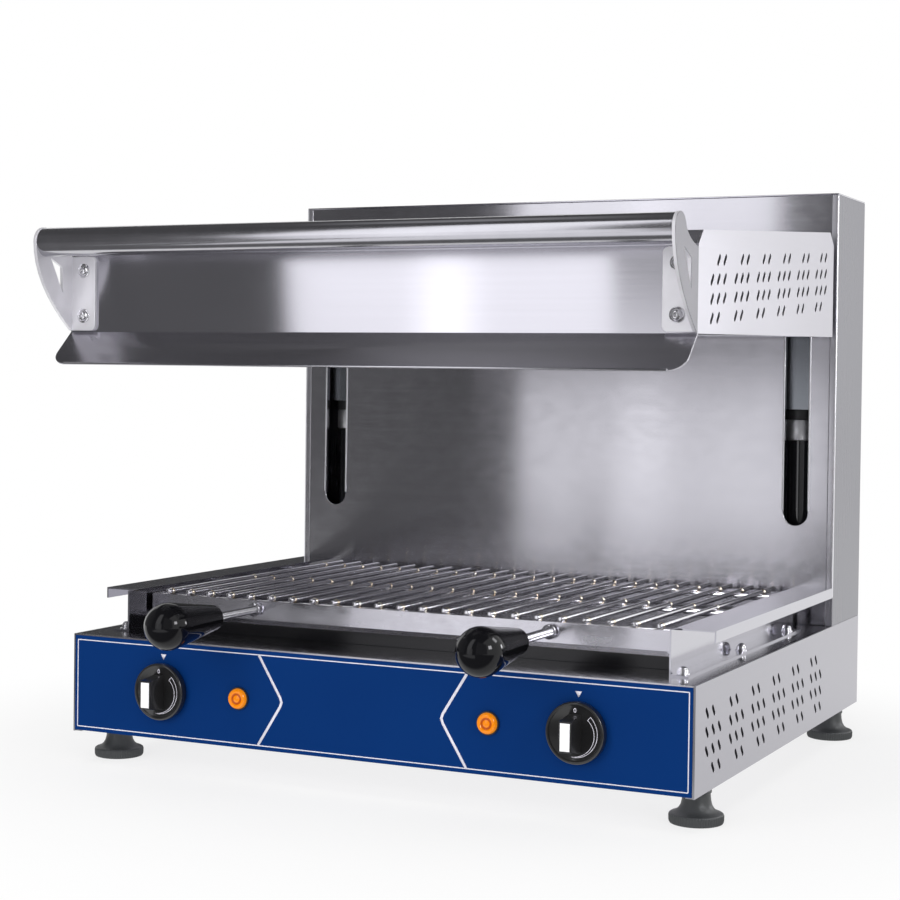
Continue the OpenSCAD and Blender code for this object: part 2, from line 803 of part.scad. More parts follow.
// A bent plate: a flange on the hood's face and a wing that holds the tube,
// with a curved front edge, a hollow upper edge and a three-cornered window
module bracket(right) {
  low = hood(flange_low);
  high = low + flange_h;
  corner_r = 5;
  flange_x = half_w - flange_w;
  plate_x = half_w - bracket_t;
  head_r = tube_r + 0.6;
  axis = [hood_face - tube_reach, hood(tube_rise)];
  brow = axis - [head_r, 0];
  crown = axis + head_r*[cos(30), sin(30)];
  belly_drop = 38;
  throat_in = 14;
  throat_drop = 4.5;
  window_front = [8.4, -13.2];
  window_top = [25.5, -20.6];
  window_foot = [26.6, -44.5];
  color(steel) on_side(right) difference() {
    union() {
      box([flange_x + corner_r, flange_y, low], [half_w, hood_face, high]);
      box([flange_x, flange_y, low + corner_r], [half_w, hood_face, high - corner_r]);
      for (z = [low + corner_r, high - corner_r])
        bar_y(flange_y, hood_face, flange_x + corner_r, z, corner_r);
      pulled_x(plate_x, half_w) {
        translate(axis) circle(r = head_r);
        polygon(concat(bend(brow, brow - [0, belly_drop], [flange_y, low]),
                       bend([flange_y, high], axis + [throat_in, -throat_drop], crown)));
      }
    }
    pulled_x(plate_x - cut, half_w + cut)
      polygon([axis + window_front, axis + window_top, axis + window_foot]);
    bracket_screw_holes();
  }
}

// Dome-headed screws with hexagon sockets and washers
module bracket_screws() {
  washer_t = 1;
  rim_t = 1;
  dome_t = 2.2;
  head_r = 4.8;
  seat = flange_y - washer_t;
  head_front = seat - rim_t - dome_t;
  color(bright) both_sides() for (h = bracket_screw_rise)
    translate([bracket_screw_x, 0, hood(h)]) difference() {
      union() {
        bar_y(seat, flange_y, 0, 0, head_r + 1.6);
        bar_y(seat - rim_t, hood_in + 3, 0, 0, bracket_screw_r);
        bar_y(seat - rim_t, seat, 0, 0, head_r);
        translate([0, seat - rim_t, 0]) rotate([90, 0, 0]) cylinder(h = dome_t, r1 = head_r, r2 = head_r - 2);
      }
      translate([0, head_front - cut, 0]) rotate([-90, 0, 0]) cylinder(h = cut + 2, r = 1.7, $fn = 6);
    }
}

module handle_tube() {
  end_x = half_w - bracket_t;
  tube_y = hood_face - tube_reach;
  color(bright) difference() {
    bar_x(-end_x, end_x, tube_y, hood(tube_rise), tube_r);
    bar_x(-end_x - cut, end_x + cut, tube_y, hood(tube_rise), tube_r - sheet);
  }
}

// ---------------------------------------------------------------- heating

// An upturned tray, whose rim reaches the hood's walls
module reflector() {
  roof = rim_h + reflector_deep;
  color(bright) difference() {
    union() {
      box([-inner_x, hood_in, hood(rim_h)], [inner_x, hood_back_y - sheet, hood(rim_h + reflector_t)]);
      box([-mouth_x - reflector_t, mouth_front - reflector_t, hood(rim_h)],
          [mouth_x + reflector_t, mouth_back + reflector_t, hood(roof + reflector_t)]);
    }
    box([-mouth_x, mouth_front, hood(rim_h) - cut], [mouth_x, mouth_back, hood(roof)]);
    both_sides() for (leg = [0, element_legs - 1])
      bar_y(mouth_back - cut, mouth_back + reflector_t + cut, first_leg_x - leg*element_pitch,
            hood(element_h), element_r + screw_gap);
  }
}

// A tubular element that runs to and fro, with both ends through the reflector
module element(right) {
  color(dark_steel) on_side(right) for (leg = [0 : element_legs - 1]) {
    x = first_leg_x - leg*element_pitch;
    outer = leg == 0 || leg == element_legs - 1;
    front_bend = leg%2 == 0;
    bar_y(leg_front, outer ? leg_end : leg_back, x, hood(element_h), element_r);
    if (leg < element_legs - 1)
      translate([x - bend_r, front_bend ? leg_front : leg_back, hood(element_h)])
        rotate(front_bend ? 180 : 0) rotate_extrude(angle = 180) translate([bend_r, 0]) circle(r = element_r);
  }
}

// Strips across the reflector, under the elements
module element_hangers() {
  hanger = [3, 6];
  count = 2;
  top = hood(element_h - element_r);
  color(dark_steel) for (i = [1 : count]) {
    y = mouth_front + i*(mouth_back - mouth_front)/(count + 1);
    box([-mouth_x, y - hanger[0]/2, top - hanger[1]], [mouth_x, y + hanger[0]/2, top]);
  }
}

// ---------------------------------------------------------------- lift

// Box arms from the hood's rear panel through the column slots, each with a
// carriage plate behind the column's front
module lift_arms() {
  half_arm = arm_w/2;
  color(steel) both_sides() {
    difference() {
      box([lift_x - half_arm, hood_back_y, hood(arm_low)], [lift_x + half_arm, carriage_y, hood(arm_top)]);
      box([lift_x - half_arm + arm_wall, hood_back_y - cut, hood(arm_low) + arm_wall],
          [lift_x + half_arm - arm_wall, carriage_y + cut, hood(arm_top) - arm_wall]);
    }
    box([lift_x - carriage_in, carriage_y, carriage_low], [lift_x + carriage_out, carriage_back, carriage_top]);
  }
}

module cross_beam() {
  low = [-beam_x, carriage_back, beam_low];
  high = [beam_x, carriage_back + beam_d, beam_low + beam_h];
  wall = [-cut, beam_wall, beam_wall];
  color(dark_steel) difference() {
    box(low, high);
    box(low + wall, high - wall);
    both_sides() bar_z(beam_low - cut, beam_low + beam_h + cut, guide_x, guide_y, bush_r);
  }
}

module guide_bushings() {
  color([0.75, 0.6, 0.3]) both_sides() difference() {
    bar_z(bush_low, bush_top, guide_x, guide_y, bush_r);
    bar_z(bush_low - cut, bush_top + cut, guide_x, guide_y, guide_r + shaft_play);
  }
}

// Gas spring cylinders, open at the gland below, with a lug to the carriage
module spring_cylinders() {
  lug_x = 10;
  lug_h = 17;
  lug_top = spring_top - 8;
  color(black) both_sides() difference() {
    union() {
      bar_z(spring_low, spring_top, spring_x, spring_y, spring_r);
      box([spring_x - lug_x, carriage_back, lug_top - lug_h], [spring_x + lug_x, spring_y, lug_top]);
    }
    bar_z(spring_low + gland_len, spring_bore_top, spring_x, spring_y, spring_bore);
    bar_z(spring_low - cut, spring_low + gland_len + cut, spring_x, spring_y, piston_rod_r + slide_gap);
  }
}

module spring_clamps() {
  half_clamp = spring_r + 2;
  color(steel) both_sides() difference() {
    box([spring_x - half_clamp, carriage_back, clamp_low],
        [spring_x + half_clamp, spring_y + half_clamp, ring_low]);
    bar_z(clamp_low - cut, ring_low + cut, spring_x, spring_y, spring_r);
  }
}

module bumper_rings() {
  color(black) both_sides() difference() {
    bar_z(ring_low, carriage_low, spring_x, spring_y, spring_r + ring_wall);
    bar_z(ring_low - cut, carriage_low + cut, spring_x, spring_y, spring_r);
  }
}

// ---------------------------------------------------------------- nodes

translate([0, -y_mid, 0]) {
  base_side(false);  // base_side_left
  base_side(true);  // base_side_right
  base_top_plate();
  base_floor();
  front_panel();
  control_overlay();
  rear_cover();
  column_splash();
  column_side(false);  // column_side_left
  column_side(true);  // column_side_right
  column_cap();
  guide_rods();
  guide_rod_blocks();
  piston_rods();
  piston_rod_anchors();
  rail(false);  // rail_left
  rail(true);  // rail_right
  rail_bolts();
  drip_tray();
  terminal_block();
  cable_gland();
  heat_regulators();
  pilot_lenses();
  pilot_bodies();
  foot(false, foot_front);  // foot_front_left
  foot(true, foot_front);  // foot_front_right
  foot(false, body_d - foot_rear);  // foot_rear_left
  foot(true, body_d - foot_rear);  // foot_rear_right
  dial(false);  // dial_left
  dial(true);  // dial_right
  dial_inlay(false);  // dial_inlay_left
  dial_inlay(true);  // dial_inlay_right
  dial_shaft(false);  // dial_shaft_left
  dial_shaft(true);  // dial_shaft_right
  grid_frame();
  grid_rods();
  grid_cross_bars();
  grid_handle_rods();
  grid_grips();
  hood_front();
  hood_side(false);  // hood_side_left
  hood_side(true);  // hood_side_right
  hood_top();
  hood_rear();
  visor();
  bracket(false);  // bracket_left
  bracket(true);  // bracket_right
  bracket_screws();
  handle_tube();
  reflector();
  element(false);  // element_left
  element(true);  // element_right
  element_hangers();
  lift_arms();
  cross_beam();
  guide_bushings();
  spring_cylinders();
  spring_clamps();
  bumper_rings();
}
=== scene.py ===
"""Looks of a lift-head salamander grill, built around its CAD frame.

Lengths are in millimetres and turn to metres where a mesh is made, except that
noise pitches are per metre and the studio's own lengths are in metres. X runs
to the right, Y to the rear and Z up. A piece that is turned on the lathe or cut
from a plate is drawn upright in its own frame and then set in place.
"""
from math import cos, pi, radians, sin

import bmesh
import bpy
from mathutils import Matrix, Vector


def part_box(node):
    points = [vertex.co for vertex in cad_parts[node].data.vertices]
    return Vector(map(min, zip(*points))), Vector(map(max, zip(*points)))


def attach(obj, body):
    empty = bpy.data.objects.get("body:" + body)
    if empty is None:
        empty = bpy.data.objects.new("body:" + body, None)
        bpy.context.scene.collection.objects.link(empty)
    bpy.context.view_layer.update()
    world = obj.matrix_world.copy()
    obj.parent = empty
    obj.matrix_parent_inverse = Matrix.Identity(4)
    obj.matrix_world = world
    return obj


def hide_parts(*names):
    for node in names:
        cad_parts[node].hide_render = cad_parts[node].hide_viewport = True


MM = 0.001
SIDES = (("left", -1), ("right", 1))

# ---- camera

CAMERA_PLACE = (777.58, -1673.8, 362.71)
# Angles in degrees
CAMERA_YAW = 25.63
CAMERA_PITCH = -0.9355
CAMERA_ROLL = 0.7601
CAMERA_LENS = 77.0
CAMERA_SENSOR = 36
CAMERA_SHIFT = -0.048
# How near and far it sees, in metres
CAMERA_NEAR, CAMERA_FAR = 0.05, 60


def set_camera():
    """A camera that is turned by yaw, then pitch, then roll."""
    yaw, pitch, roll = radians(CAMERA_YAW), radians(CAMERA_PITCH), radians(CAMERA_ROLL)
    ahead = Vector((-sin(yaw) * cos(pitch), cos(yaw) * cos(pitch), sin(pitch)))
    level = Vector((cos(yaw), sin(yaw), 0))
    upright = level.cross(ahead)
    right = cos(roll) * level + sin(roll) * upright
    up = cos(roll) * upright - sin(roll) * level
    data = bpy.data.cameras.new("camera")
    data.sensor_width = CAMERA_SENSOR
    data.lens = CAMERA_LENS
    data.shift_y = CAMERA_SHIFT
    data.clip_start, data.clip_end = CAMERA_NEAR, CAMERA_FAR
    camera = bpy.data.objects.new("camera", data)
    turn = Matrix((right, up, -ahead)).transposed().to_4x4()
    camera.matrix_world = Matrix.Translation(Vector(CAMERA_PLACE) * MM) @ turn
    bpy.context.scene.collection.objects.link(camera)
    bpy.context.scene.camera = camera
    bpy.context.scene.view_settings.view_transform = "Standard"


# ---- node trees

class Amount:
    """A socket in a node tree, on which Python's operators add Math nodes."""

    def __init__(self, tree, socket):
        self.tree = tree
        self.socket = socket

    def math(self, operation, *values):
        return self.tree.node("Math", {"operation": operation}, dict(enumerate(values)))

    def __add__(self, other):
        return self.math("ADD", self, other)

    def __sub__(self, other):
        return self.math("SUBTRACT", self, other)

    def __rsub__(self, other):
        return self.math("SUBTRACT", other, self)

    def __mul__(self, other):
        return self.math("MULTIPLY", self, other)

    def __pow__(self, other):
        return self.math("POWER", self, other)

    def __abs__(self):
        return self.math("ABSOLUTE", self)

    __radd__ = __add__
    __rmul__ = __mul__

    def at_least(self, other):
        return self.math("MAXIMUM", self, other)

    def within(self, low, high):
        """0 below low, 1 above high and a smooth step between them."""
        return self.tree.node("MapRange", {"interpolation_type": "SMOOTHSTEP"},
                              {"Value": self, "From Min": low, "From Max": high})


class Tree:
    """A node tree that is written as expressions."""

    def __init__(self, owner):
        owner.use_nodes = True
        self.nodes = owner.node_tree.nodes
        self.links = owner.node_tree.links

    def node(self, kind, settings=None, sockets=None, output=0):
        """Adds a node: its settings come first, then its sockets' values."""
        made = self.nodes.new("ShaderNode" + kind)
        for name, value in (settings or {}).items():
            if name == "stops":
                self.set_stops(made.color_ramp, value)
            else:
                setattr(made, name, value)
        for name, value in (sockets or {}).items():
            self.feed(made.inputs[name], value)
        return Amount(self, made.outputs[output])

    @staticmethod
    def set_stops(ramp, stops):
        for place, colour in stops[len(ramp.elements):]:
            ramp.elements.new(place)
        for element, (place, colour) in zip(ramp.elements, stops):
            element.position = place
            element.color = (*colour, 1)

    def feed(self, socket, value):
        """Links an Amount to a socket, or sets the socket to a number or colour."""
        if isinstance(value, Amount):
            self.links.new(value.socket, socket)
        elif hasattr(value, "__len__") and len(value) + 1 == len(socket.default_value):
            socket.default_value = (*value, 1)
        else:
            socket.default_value = value

    def place(self, stretch=(1, 1, 1)):
        """The surface point in the piece's own frame, in metres times stretch."""
        point = self.node("TexCoord", output="Object")
        return self.node("VectorMath", {"operation": "MULTIPLY"}, {0: point, 1: stretch})

    def axis(self, index, stretch=(1, 1, 1)):
        """One coordinate of the surface point in the piece's own frame."""
        return self.node("SeparateXYZ", None, {0: self.place(stretch)}, output=index)

    def noise(self, pitch, detail=2, roughness=0.5):
        """Noise of one pitch per metre, or of a pitch for each axis."""
        stretch = (pitch,) * 3 if isinstance(pitch, int) else pitch
        return self.node("TexNoise", None, {"Vector": self.place(stretch), "Scale": 1.0,
                                            "Detail": detail, "Roughness": roughness})

    def blend(self, share, low, high):
        """A colour that goes from low to high with share."""
        return self.node("Mix", {"data_type": "RGBA"}, {0: share, 6: low, 7: high}, output=2)


FINISHES = {}


class Finish(Tree):
    """A material around one Principled shader, kept by its name in FINISHES."""

    def __init__(self, name, **constants):
        self.material = FINISHES[name] = bpy.data.materials.new(name)
        super().__init__(self.material)
        self.shader = next(n for n in self.nodes if n.type == "BSDF_PRINCIPLED")
        self.paint(**constants)

    def paint(self, **sockets):
        """Feeds sockets of the shader, whose names have _ in place of a space."""
        for name, value in sockets.items():
            self.feed(self.shader.inputs[name.replace("_", " ")], value)

    def show(self, surface):
        """Puts another shader in the place of the Principled one."""
        output = next(n for n in self.nodes if n.type == "OUTPUT_MATERIAL")
        self.feed(output.inputs[0], surface)

    def bump(self, height, strength, distance):
        self.paint(Normal=self.node("Bump", None, {
            "Strength": strength, "Distance": distance * MM, "Height": height}))


# ---- finishes

STEEL = (0.665, 0.655, 0.705)
SPLASH = (0.59, 0.582, 0.62)

# Noise pitches per metre, the first two along and across the grain
MARK_PITCH = (12, 1900)
BAND_PITCH = (3, 420)
CLOUD_PITCH = 7
PATCH_PITCH = (55, 55, 90)
# How strong bands and clouds are, bands as a share of the marks
BAND_SHARE = 2.2
CLOUD_SHARE = 0.08
# How much the noise changes the roughness
MARK_ROUGHNESS = 0.03
CLOUD_ROUGHNESS = 0.08
PATCH_ROUGHNESS = 0.3
# How far the noise darkens and lightens steel
SHADE = 0.2
# How far from the middle the outer skins lie, which take painted shade
OUTER_SKIN = 300
# Where the tray's wall goes over into its inside, from its front
TRAY_WALL = (1.25, 1.6)
# The dark ring in a lamp: where it starts and ends, each over a soft edge
RING_START = (2.6, 3.6)
RING_END = (4.6, 5.6)
LENS_CELLS = 900.0
WELD_RAMP = ((0.3, (0.62, 0.5, 0.36)), (0.5, (0.95, 0.86, 0.7)), (0.7, (0.96, 0.93, 0.88)))
HEAT_RAMP = ((0.3, (0.05, 0.045, 0.04)), (0.55, (0.12, 0.10, 0.085)), (0.7, (0.09, 0.10, 0.12)))


def skin_shade_share(finish):
    """1 on the skins that face outward on either side, 0 within: where shade is painted."""
    return abs(finish.axis(0)).within((OUTER_SKIN - 0.6) * MM, (OUTER_SKIN - 0.1) * MM)


def grained(grain, pitch):
    """A noise's pitch on each axis, from its pitch along and across the grain."""
    along, across = pitch
    return [along if axis == grain else across for axis in "xyz"]


def shades(finish, tone, colour):
    """A colour that goes from darker to lighter with tone."""
    return finish.blend(tone, [c * (1 - SHADE) for c in colour], [c * (1 + SHADE) for c in colour])


def brushed(name, grain, colour, roughness, spread=0.0, streak=0.06, mottle=0.0, skin_shade=None):
    """Steel with grinding marks along the grain's axis. The marks throw light
    across the grain: spread is how far more than along it. The last argument,
    where given, is a darker colour painted on the outer faces as shade."""
    finish = Finish(name, Metallic=1.0, Anisotropic=spread, Anisotropic_Rotation=0.25)
    marks = finish.noise(grained(grain, MARK_PITCH), 3, 0.6) - 0.5
    bands = finish.noise(grained(grain, BAND_PITCH), 3) - 0.5
    cloud = finish.noise(CLOUD_PITCH, 3) - 0.5
    patches = finish.noise(PATCH_PITCH, 3) - 0.5
    tone = marks * streak + bands * BAND_SHARE * streak + cloud * CLOUD_SHARE + patches * mottle + 0.5
    look = shades(finish, tone, colour)
    # Painted shade: the outer faces take the darker colour
    if skin_shade:
        look = finish.blend(skin_shade_share(finish), look, shades(finish, tone, skin_shade))
    finish.paint(Base_Color=look)
    finish.paint(Roughness=(bands + marks) * MARK_ROUGHNESS + cloud * CLOUD_ROUGHNESS
                 + patches * mottle * PATCH_ROUGHNESS + roughness)
    finish.bump(marks, 0.02, 0.02)


def bracket_steel():
    """Blasted steel, with painted shade that darkens the skins that face outward."""
    finish = Finish("bracket_steel", Metallic=0.6)
    skin_shade = skin_shade_share(finish)
    cloud = finish.noise(60, 3)
    grit = finish.noise(1400)
    satin = finish.blend(cloud, (0.74, 0.73, 0.77), (0.86, 0.85, 0.89))
    # Painted shade: the outward skins are blended most of the way to dark grey
    finish.paint(Base_Color=finish.blend(skin_shade * 0.9, satin, (0.15, 0.147, 0.162)))
    finish.paint(Roughness=(cloud - 0.5) * 0.1 + 0.42)
    finish.bump(grit, 0.1, 0.02)


def tray_steel():
    """Near black at its front wall, as painted shade under the grid; inside, bare sheet worn bright."""
    finish = Finish("tray_steel")
    front = edges("drip_tray")[0].y
    inside = finish.axis(1).within((front + TRAY_WALL[0]) * MM, (front + TRAY_WALL[1]) * MM)
    cloud = finish.noise(40, 3)
    worn = finish.blend(cloud, (0.42, 0.417, 0.44), (0.56, 0.555, 0.59))
    # Painted shade: the front wall is near black, standing for the shadow under the grid
    finish.paint(Base_Color=finish.blend(inside, (0.004, 0.004, 0.005), worn))
    finish.paint(Metallic=inside)
    finish.paint(Roughness=cloud * 0.1 + 0.13)


def polished(name, colour, roughness, wear=0.05):
    """Smooth plated or polished metal with faint wipe marks."""
    finish = Finish(name, Metallic=1.0)
    cloud = finish.noise(60, 3)
    finish.paint(Base_Color=finish.blend(cloud, [c * 0.88 for c in colour], colour))
    finish.paint(Roughness=cloud * wear + roughness)


def moulded(name, colour, roughness, grit=0.0, coat=0.0, pitch=900, ior=1.5):
    """Moulded plastic or rubber: grit is the depth of its texture."""
    finish = Finish(name, Coat_Weight=coat, Coat_Roughness=0.04, IOR=ior)
    cloud = finish.noise(25, 3)
    grain = finish.noise(pitch)
    light = [c * 1.25 + 0.002 for c in colour]
    finish.paint(Base_Color=finish.blend(cloud * 0.6 + grain * 0.4, colour, light))
    finish.paint(Roughness=cloud * 0.08 + roughness)
    if grit:
        finish.bump(grain, 0.6, grit)


def blue_film():
    """Deep blue printed film with a fine grain."""
    finish = Finish("blue_film", Specular_IOR_Level=0.03)
    cloud = finish.noise(12)
    grain = finish.noise(1800, 1)
    finish.paint(Base_Color=finish.blend(cloud, (0.0016, 0.027, 0.139), (0.002, 0.031, 0.152)))
    finish.paint(Roughness=cloud * 0.06 + 0.4)
    finish.bump(grain, 0.15, 0.02)


def white_ink():
    """White print, a little uneven."""
    finish = Finish("white_ink")
    cloud = finish.noise(300)
    finish.paint(Base_Color=finish.blend(cloud, (0.72, 0.70, 0.8), (0.86, 0.84, 0.92)))
    finish.paint(Roughness=cloud * 0.1 + 0.4)


def amber_lens():
    """Clear amber plastic, deeper in colour in a ring and lighter at its rim."""
    finish = Finish("lens_amber", Coat_Weight=0.3, Coat_Roughness=0.02, IOR=1.4)
    across, height = finish.axis(0), finish.axis(1)
    radius = (across * across + height * height) ** 0.5
    start, end = [[r * MM for r in band] for band in (RING_START, RING_END)]
    ring = radius.within(*start) * (1 - radius.within(*end))
    cells = finish.node("TexVoronoi", None, {"Vector": finish.place(), "Scale": LENS_CELLS})
    body = finish.blend(cells, (0.66, 0.17, 0.0), (0.54, 0.115, 0.0))
    finish.paint(Base_Color=finish.blend(ring * 0.9, body, (0.26, 0.03, 0.0)))
    finish.paint(Emission_Color=finish.blend(ring * 0.9, (1.0, 0.36, 0.0), (0.48, 0.08, 0.0)))
    finish.paint(Emission_Strength=0.36)
    finish.paint(Roughness=cells * 0.1 + 0.08)


def oxide_sheath():
    """Heating element sheath, dark with brown and blue heat colours."""
    finish = Finish("element_sheath", Metallic=0.7)
    cloud = finish.noise((30, 14, 30), 4)
    finish.paint(Base_Color=finish.node("ValToRGB", {"stops": HEAT_RAMP}, {0: cloud}))
    finish.paint(Roughness=cloud * 0.3 + 0.3)
    finish.bump(finish.noise(900), 0.3, 0.05)


def welded_chrome():
    """Chrome wire with straw-coloured heat tint."""
    finish = Finish("weld_tint", Metallic=1.0)
    cloud = finish.noise(220, 3)
    finish.paint(Base_Color=finish.node("ValToRGB", {"stops": WELD_RAMP}, {0: cloud}))
    finish.paint(Roughness=cloud * 0.25 + 0.12)
    finish.bump(cloud, 0.4, 0.3)


def make_finishes():
    """Every finish of the grill."""
    brushed("front_steel", "x", STEEL, 0.15, spread=1.0)
    brushed("side_steel", "y", (0.54, 0.532, 0.572), 0.34, spread=0.3)
    brushed("base_steel", "y", (0.42, 0.414, 0.45), 0.3, spread=0.3)
    # Painted shade darkens the outer faces of the column's sides
    brushed("column_steel", "z", SPLASH, 0.28, skin_shade=(0.228, 0.227, 0.252))
    brushed("flat_steel", "x", STEEL, 0.3)
    brushed("plate_steel", "x", (0.5, 0.495, 0.53), 0.12, streak=0.03)
    bracket_steel()
    brushed("splash_steel", "x", SPLASH, 0.17, spread=1.0, streak=0.09, mottle=0.25)
    brushed("strip_steel", "x", STEEL, 0.2, spread=0.9, mottle=1.2)
    brushed("rail_steel", "y", (0.56, 0.555, 0.6), 0.12, streak=0.04)
    brushed("visor_steel", "x", (0.5, 0.49, 0.53), 0.2, spread=0.8, streak=0.04)
    polished("polished_steel", (0.58, 0.575, 0.61), 0.14)
    polished("grid_chrome", (0.86, 0.85, 0.89), 0.12, 0.1)
    welded_chrome()
    polished("fastener_steel", (0.9, 0.895, 0.92), 0.1)
    blue_film()
    white_ink()
    tray_steel()
    polished("zinc_steel", (0.52, 0.53, 0.54), 0.36, 0.2)
    polished("clamp_alloy", (0.9, 0.9, 0.92), 0.4)
    polished("arm_steel", (0.3, 0.318, 0.345), 0.22)
    # Partly painted highlight: the hems' steel is brighter than the splash they roll from
    polished("trim_highlight_steel", (0.9, 0.895, 0.93), 0.3)
    moulded("cylinder_paint", (0.01, 0.01, 0.012), 0.07, coat=1.0)
    polished("bushing_brass", (0.66, 0.48, 0.2), 0.24)
    brushed("reflector_alloy", "x", (0.78, 0.78, 0.79), 0.2)
    oxide_sheath()
    moulded("ring_rubber", (0.014, 0.014, 0.015), 0.35, 0.02)
    moulded("foot_plastic", (0.035, 0.038, 0.04), 0.38, 0.25, pitch=520)
    moulded("gland_plastic", (0.018, 0.018, 0.019), 0.42, 0.05)
    moulded("ivory_plastic", (0.62, 0.59, 0.5), 0.4)
    moulded("black_gloss", (0.003, 0.003, 0.004), 0.04, coat=0.1, ior=1.33)
    moulded("dial_black", (0.011, 0.011, 0.0115), 0.26, coat=0.5)
    moulded("lamp_collar", (0.02, 0.02, 0.022), 0.35)
    amber_lens()
    moulded("inlay_metal", (0.86, 0.855, 0.88), 0.3)


# ---- mesh tools

FRONT = Matrix.Rotation(pi / 2, 4, "X")
BACK = Matrix.Rotation(-pi / 2, 4, "X")
RIGHT = Matrix.Rotation(pi / 2, 4, "Y")
DOWN = Matrix.Rotation(pi, 4, "X")
# A radius below this is a point. In metres, welded points lie nearer than this
POINT = 1e-6
# Points of a new piece that lie nearer than this are one
DOUBLE = 1e-4
# The shortest that a mitred corner is taken for, so that sharp ones stay near
MITRE = 0.4
# Faces that meet at less than the first angle are one, and edges that turn more
# than the second are rounded
FLAT, SHARP = 0.6, 32


def spot(x, y, z, turn=Matrix()):
    """A place, with the direction in which a piece's own Z points there."""
    return Matrix.Translation((x, y, z)) @ turn


def lathe(mesh, outline, place=Matrix(), steps=64, ripple=None):
    """Turns an outline of (radius, height) points. ripple is (count, depth,
    low, high): flutes of that depth between two heights."""
    rings = []
    for radius, height in outline:
        if radius < POINT:
            rings.append([mesh.verts.new(place @ Vector((0, 0, height)))] * steps)
            continue
        ring = []
        for i in range(steps):
            angle = 2 * pi * i / steps
            reach = radius
            if ripple and ripple[2] < height < ripple[3]:
                reach -= ripple[1] * (0.5 - 0.5 * cos(ripple[0] * angle))
            ring.append(mesh.verts.new(place @ Vector((reach * cos(angle), reach * sin(angle), height))))
        rings.append(ring)
    for low, high in zip(rings, rings[1:]):
        for i in range(steps):
            j = (i + 1) % steps
            corners = list(dict.fromkeys((low[i], low[j], high[j], high[i])))
            if len(corners) > 2:
                mesh.faces.new(corners)


def plate(mesh, outline, low, high, place=Matrix()):
    """A plate from an outline of (x, y) points, between two heights."""
    floor = [mesh.verts.new(place @ Vector((x, y, low))) for x, y in outline]
    roof = [mesh.verts.new(place @ Vector((x, y, high))) for x, y in outline]
    mesh.faces.new(floor[::-1])
    mesh.faces.new(roof)
    count = len(outline)
    for i in range(count):
        j = (i + 1) % count
        mesh.faces.new((floor[i], floor[j], roof[j], roof[i]))


def ribbon(mesh, points, width, low, high, place=Matrix(), closed=True):
    """A printed line of even width along points, with mitred corners."""
    count = len(points)
    inner, outer = [], []
    for i, (x, y) in enumerate(points):
        before = points[i - 1] if closed or i else points[i]
        after = points[(i + 1) % count] if closed or i < count - 1 else points[i]
        into = Vector((x - before[0], y - before[1]))
        out = Vector((after[0] - x, after[1] - y))
        into = into.normalized() if into.length else out.normalized()
        out = out.normalized() if out.length else into
        normal = Vector((-(into.y + out.y), into.x + out.x)).normalized()
        reach = width / 2 / max(MITRE, normal.dot(Vector((-into.y, into.x))))
        inner.append((x - normal.x * reach, y - normal.y * reach))
        outer.append((x + normal.x * reach, y + normal.y * reach))
    for i in range(count if closed else count - 1):
        j = (i + 1) % count
        plate(mesh, (inner[i], inner[j], outer[j], outer[i]), low, high, place)


def arc(radius, start, end, steps, centre=(0, 0)):
    """Points of an arc; angles in degrees, counted from X towards Y."""
    angles = [radians(start + (end - start) * i / steps) for i in range(steps + 1)]
    return [(centre[0] + radius * cos(a), centre[1] + radius * sin(a)) for a in angles]


def rounded(low, high, radius, steps):
    """The outline of a rectangle with round corners."""
    corners = ((high[0], high[1], 0), (low[0], high[1], 90),
               (low[0], low[1], 180), (high[0], low[1], 270))
    return [point for x, y, turn in corners for point in arc(
        radius, turn, turn + 90, steps,
        (x - radius if x == high[0] else x + radius, y - radius if y == high[1] else y + radius))]


def soften(thing, width, segments=2):
    """Rounds the sharp edges of a piece or a CAD node with modifiers."""
    weld = thing.modifiers.new("weld", "WELD")
    weld.merge_threshold = POINT
    flat = thing.modifiers.new("flat", "DECIMATE")
    flat.decimate_type = "DISSOLVE"
    flat.angle_limit = radians(FLAT)
    edge = thing.modifiers.new("edge", "BEVEL")
    edge.width = width * MM
    edge.segments = segments
    edge.limit_method = "ANGLE"
    edge.angle_limit = radians(SHARP)
    thing.modifiers.new("normals", "WEIGHTED_NORMAL")
    smooth(thing.data)


def smooth(data):
    """Shades a mesh smoothly all over."""
    data.polygons.foreach_set("use_smooth", [True] * len(data.polygons))
    for name in ("sharp_edge", "sharp_face", "custom_normal"):
        if name in data.attributes:
            data.attributes.remove(data.attributes[name])


def add_piece(name, mesh, finish, body, stands_for=(), edge=0.0, place=None, segments=2):
    """Makes a piece from a bmesh in millimetres and hangs it on its body."""
    bmesh.ops.remove_doubles(mesh, verts=mesh.verts, dist=DOUBLE)
    bmesh.ops.recalc_face_normals(mesh, faces=mesh.faces)
    bmesh.ops.scale(mesh, vec=(MM, MM, MM), verts=mesh.verts)
    data = bpy.data.meshes.new(name)
    mesh.to_mesh(data)
    mesh.free()
    data.materials.append(FINISHES[finish])
    piece = bpy.data.objects.new(name, data)
    bpy.context.scene.collection.objects.link(piece)
    if place is not None:
        piece.matrix_world = Matrix.Translation(place.translation * MM) @ place.to_3x3().to_4x4()
    smooth(data)
    if edge:
        soften(piece, edge, segments)
    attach(piece, body)
    if stands_for:
        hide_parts(*stands_for)


def edges(node):
    """The lowest and highest corner of a CAD node's box, in millimetres."""
    low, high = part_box(node)
    return low / MM, high / MM


def middle(node):
    """The middle of a CAD node's box, in millimetres."""
    low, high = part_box(node)
    return (low + high) / 2 / MM


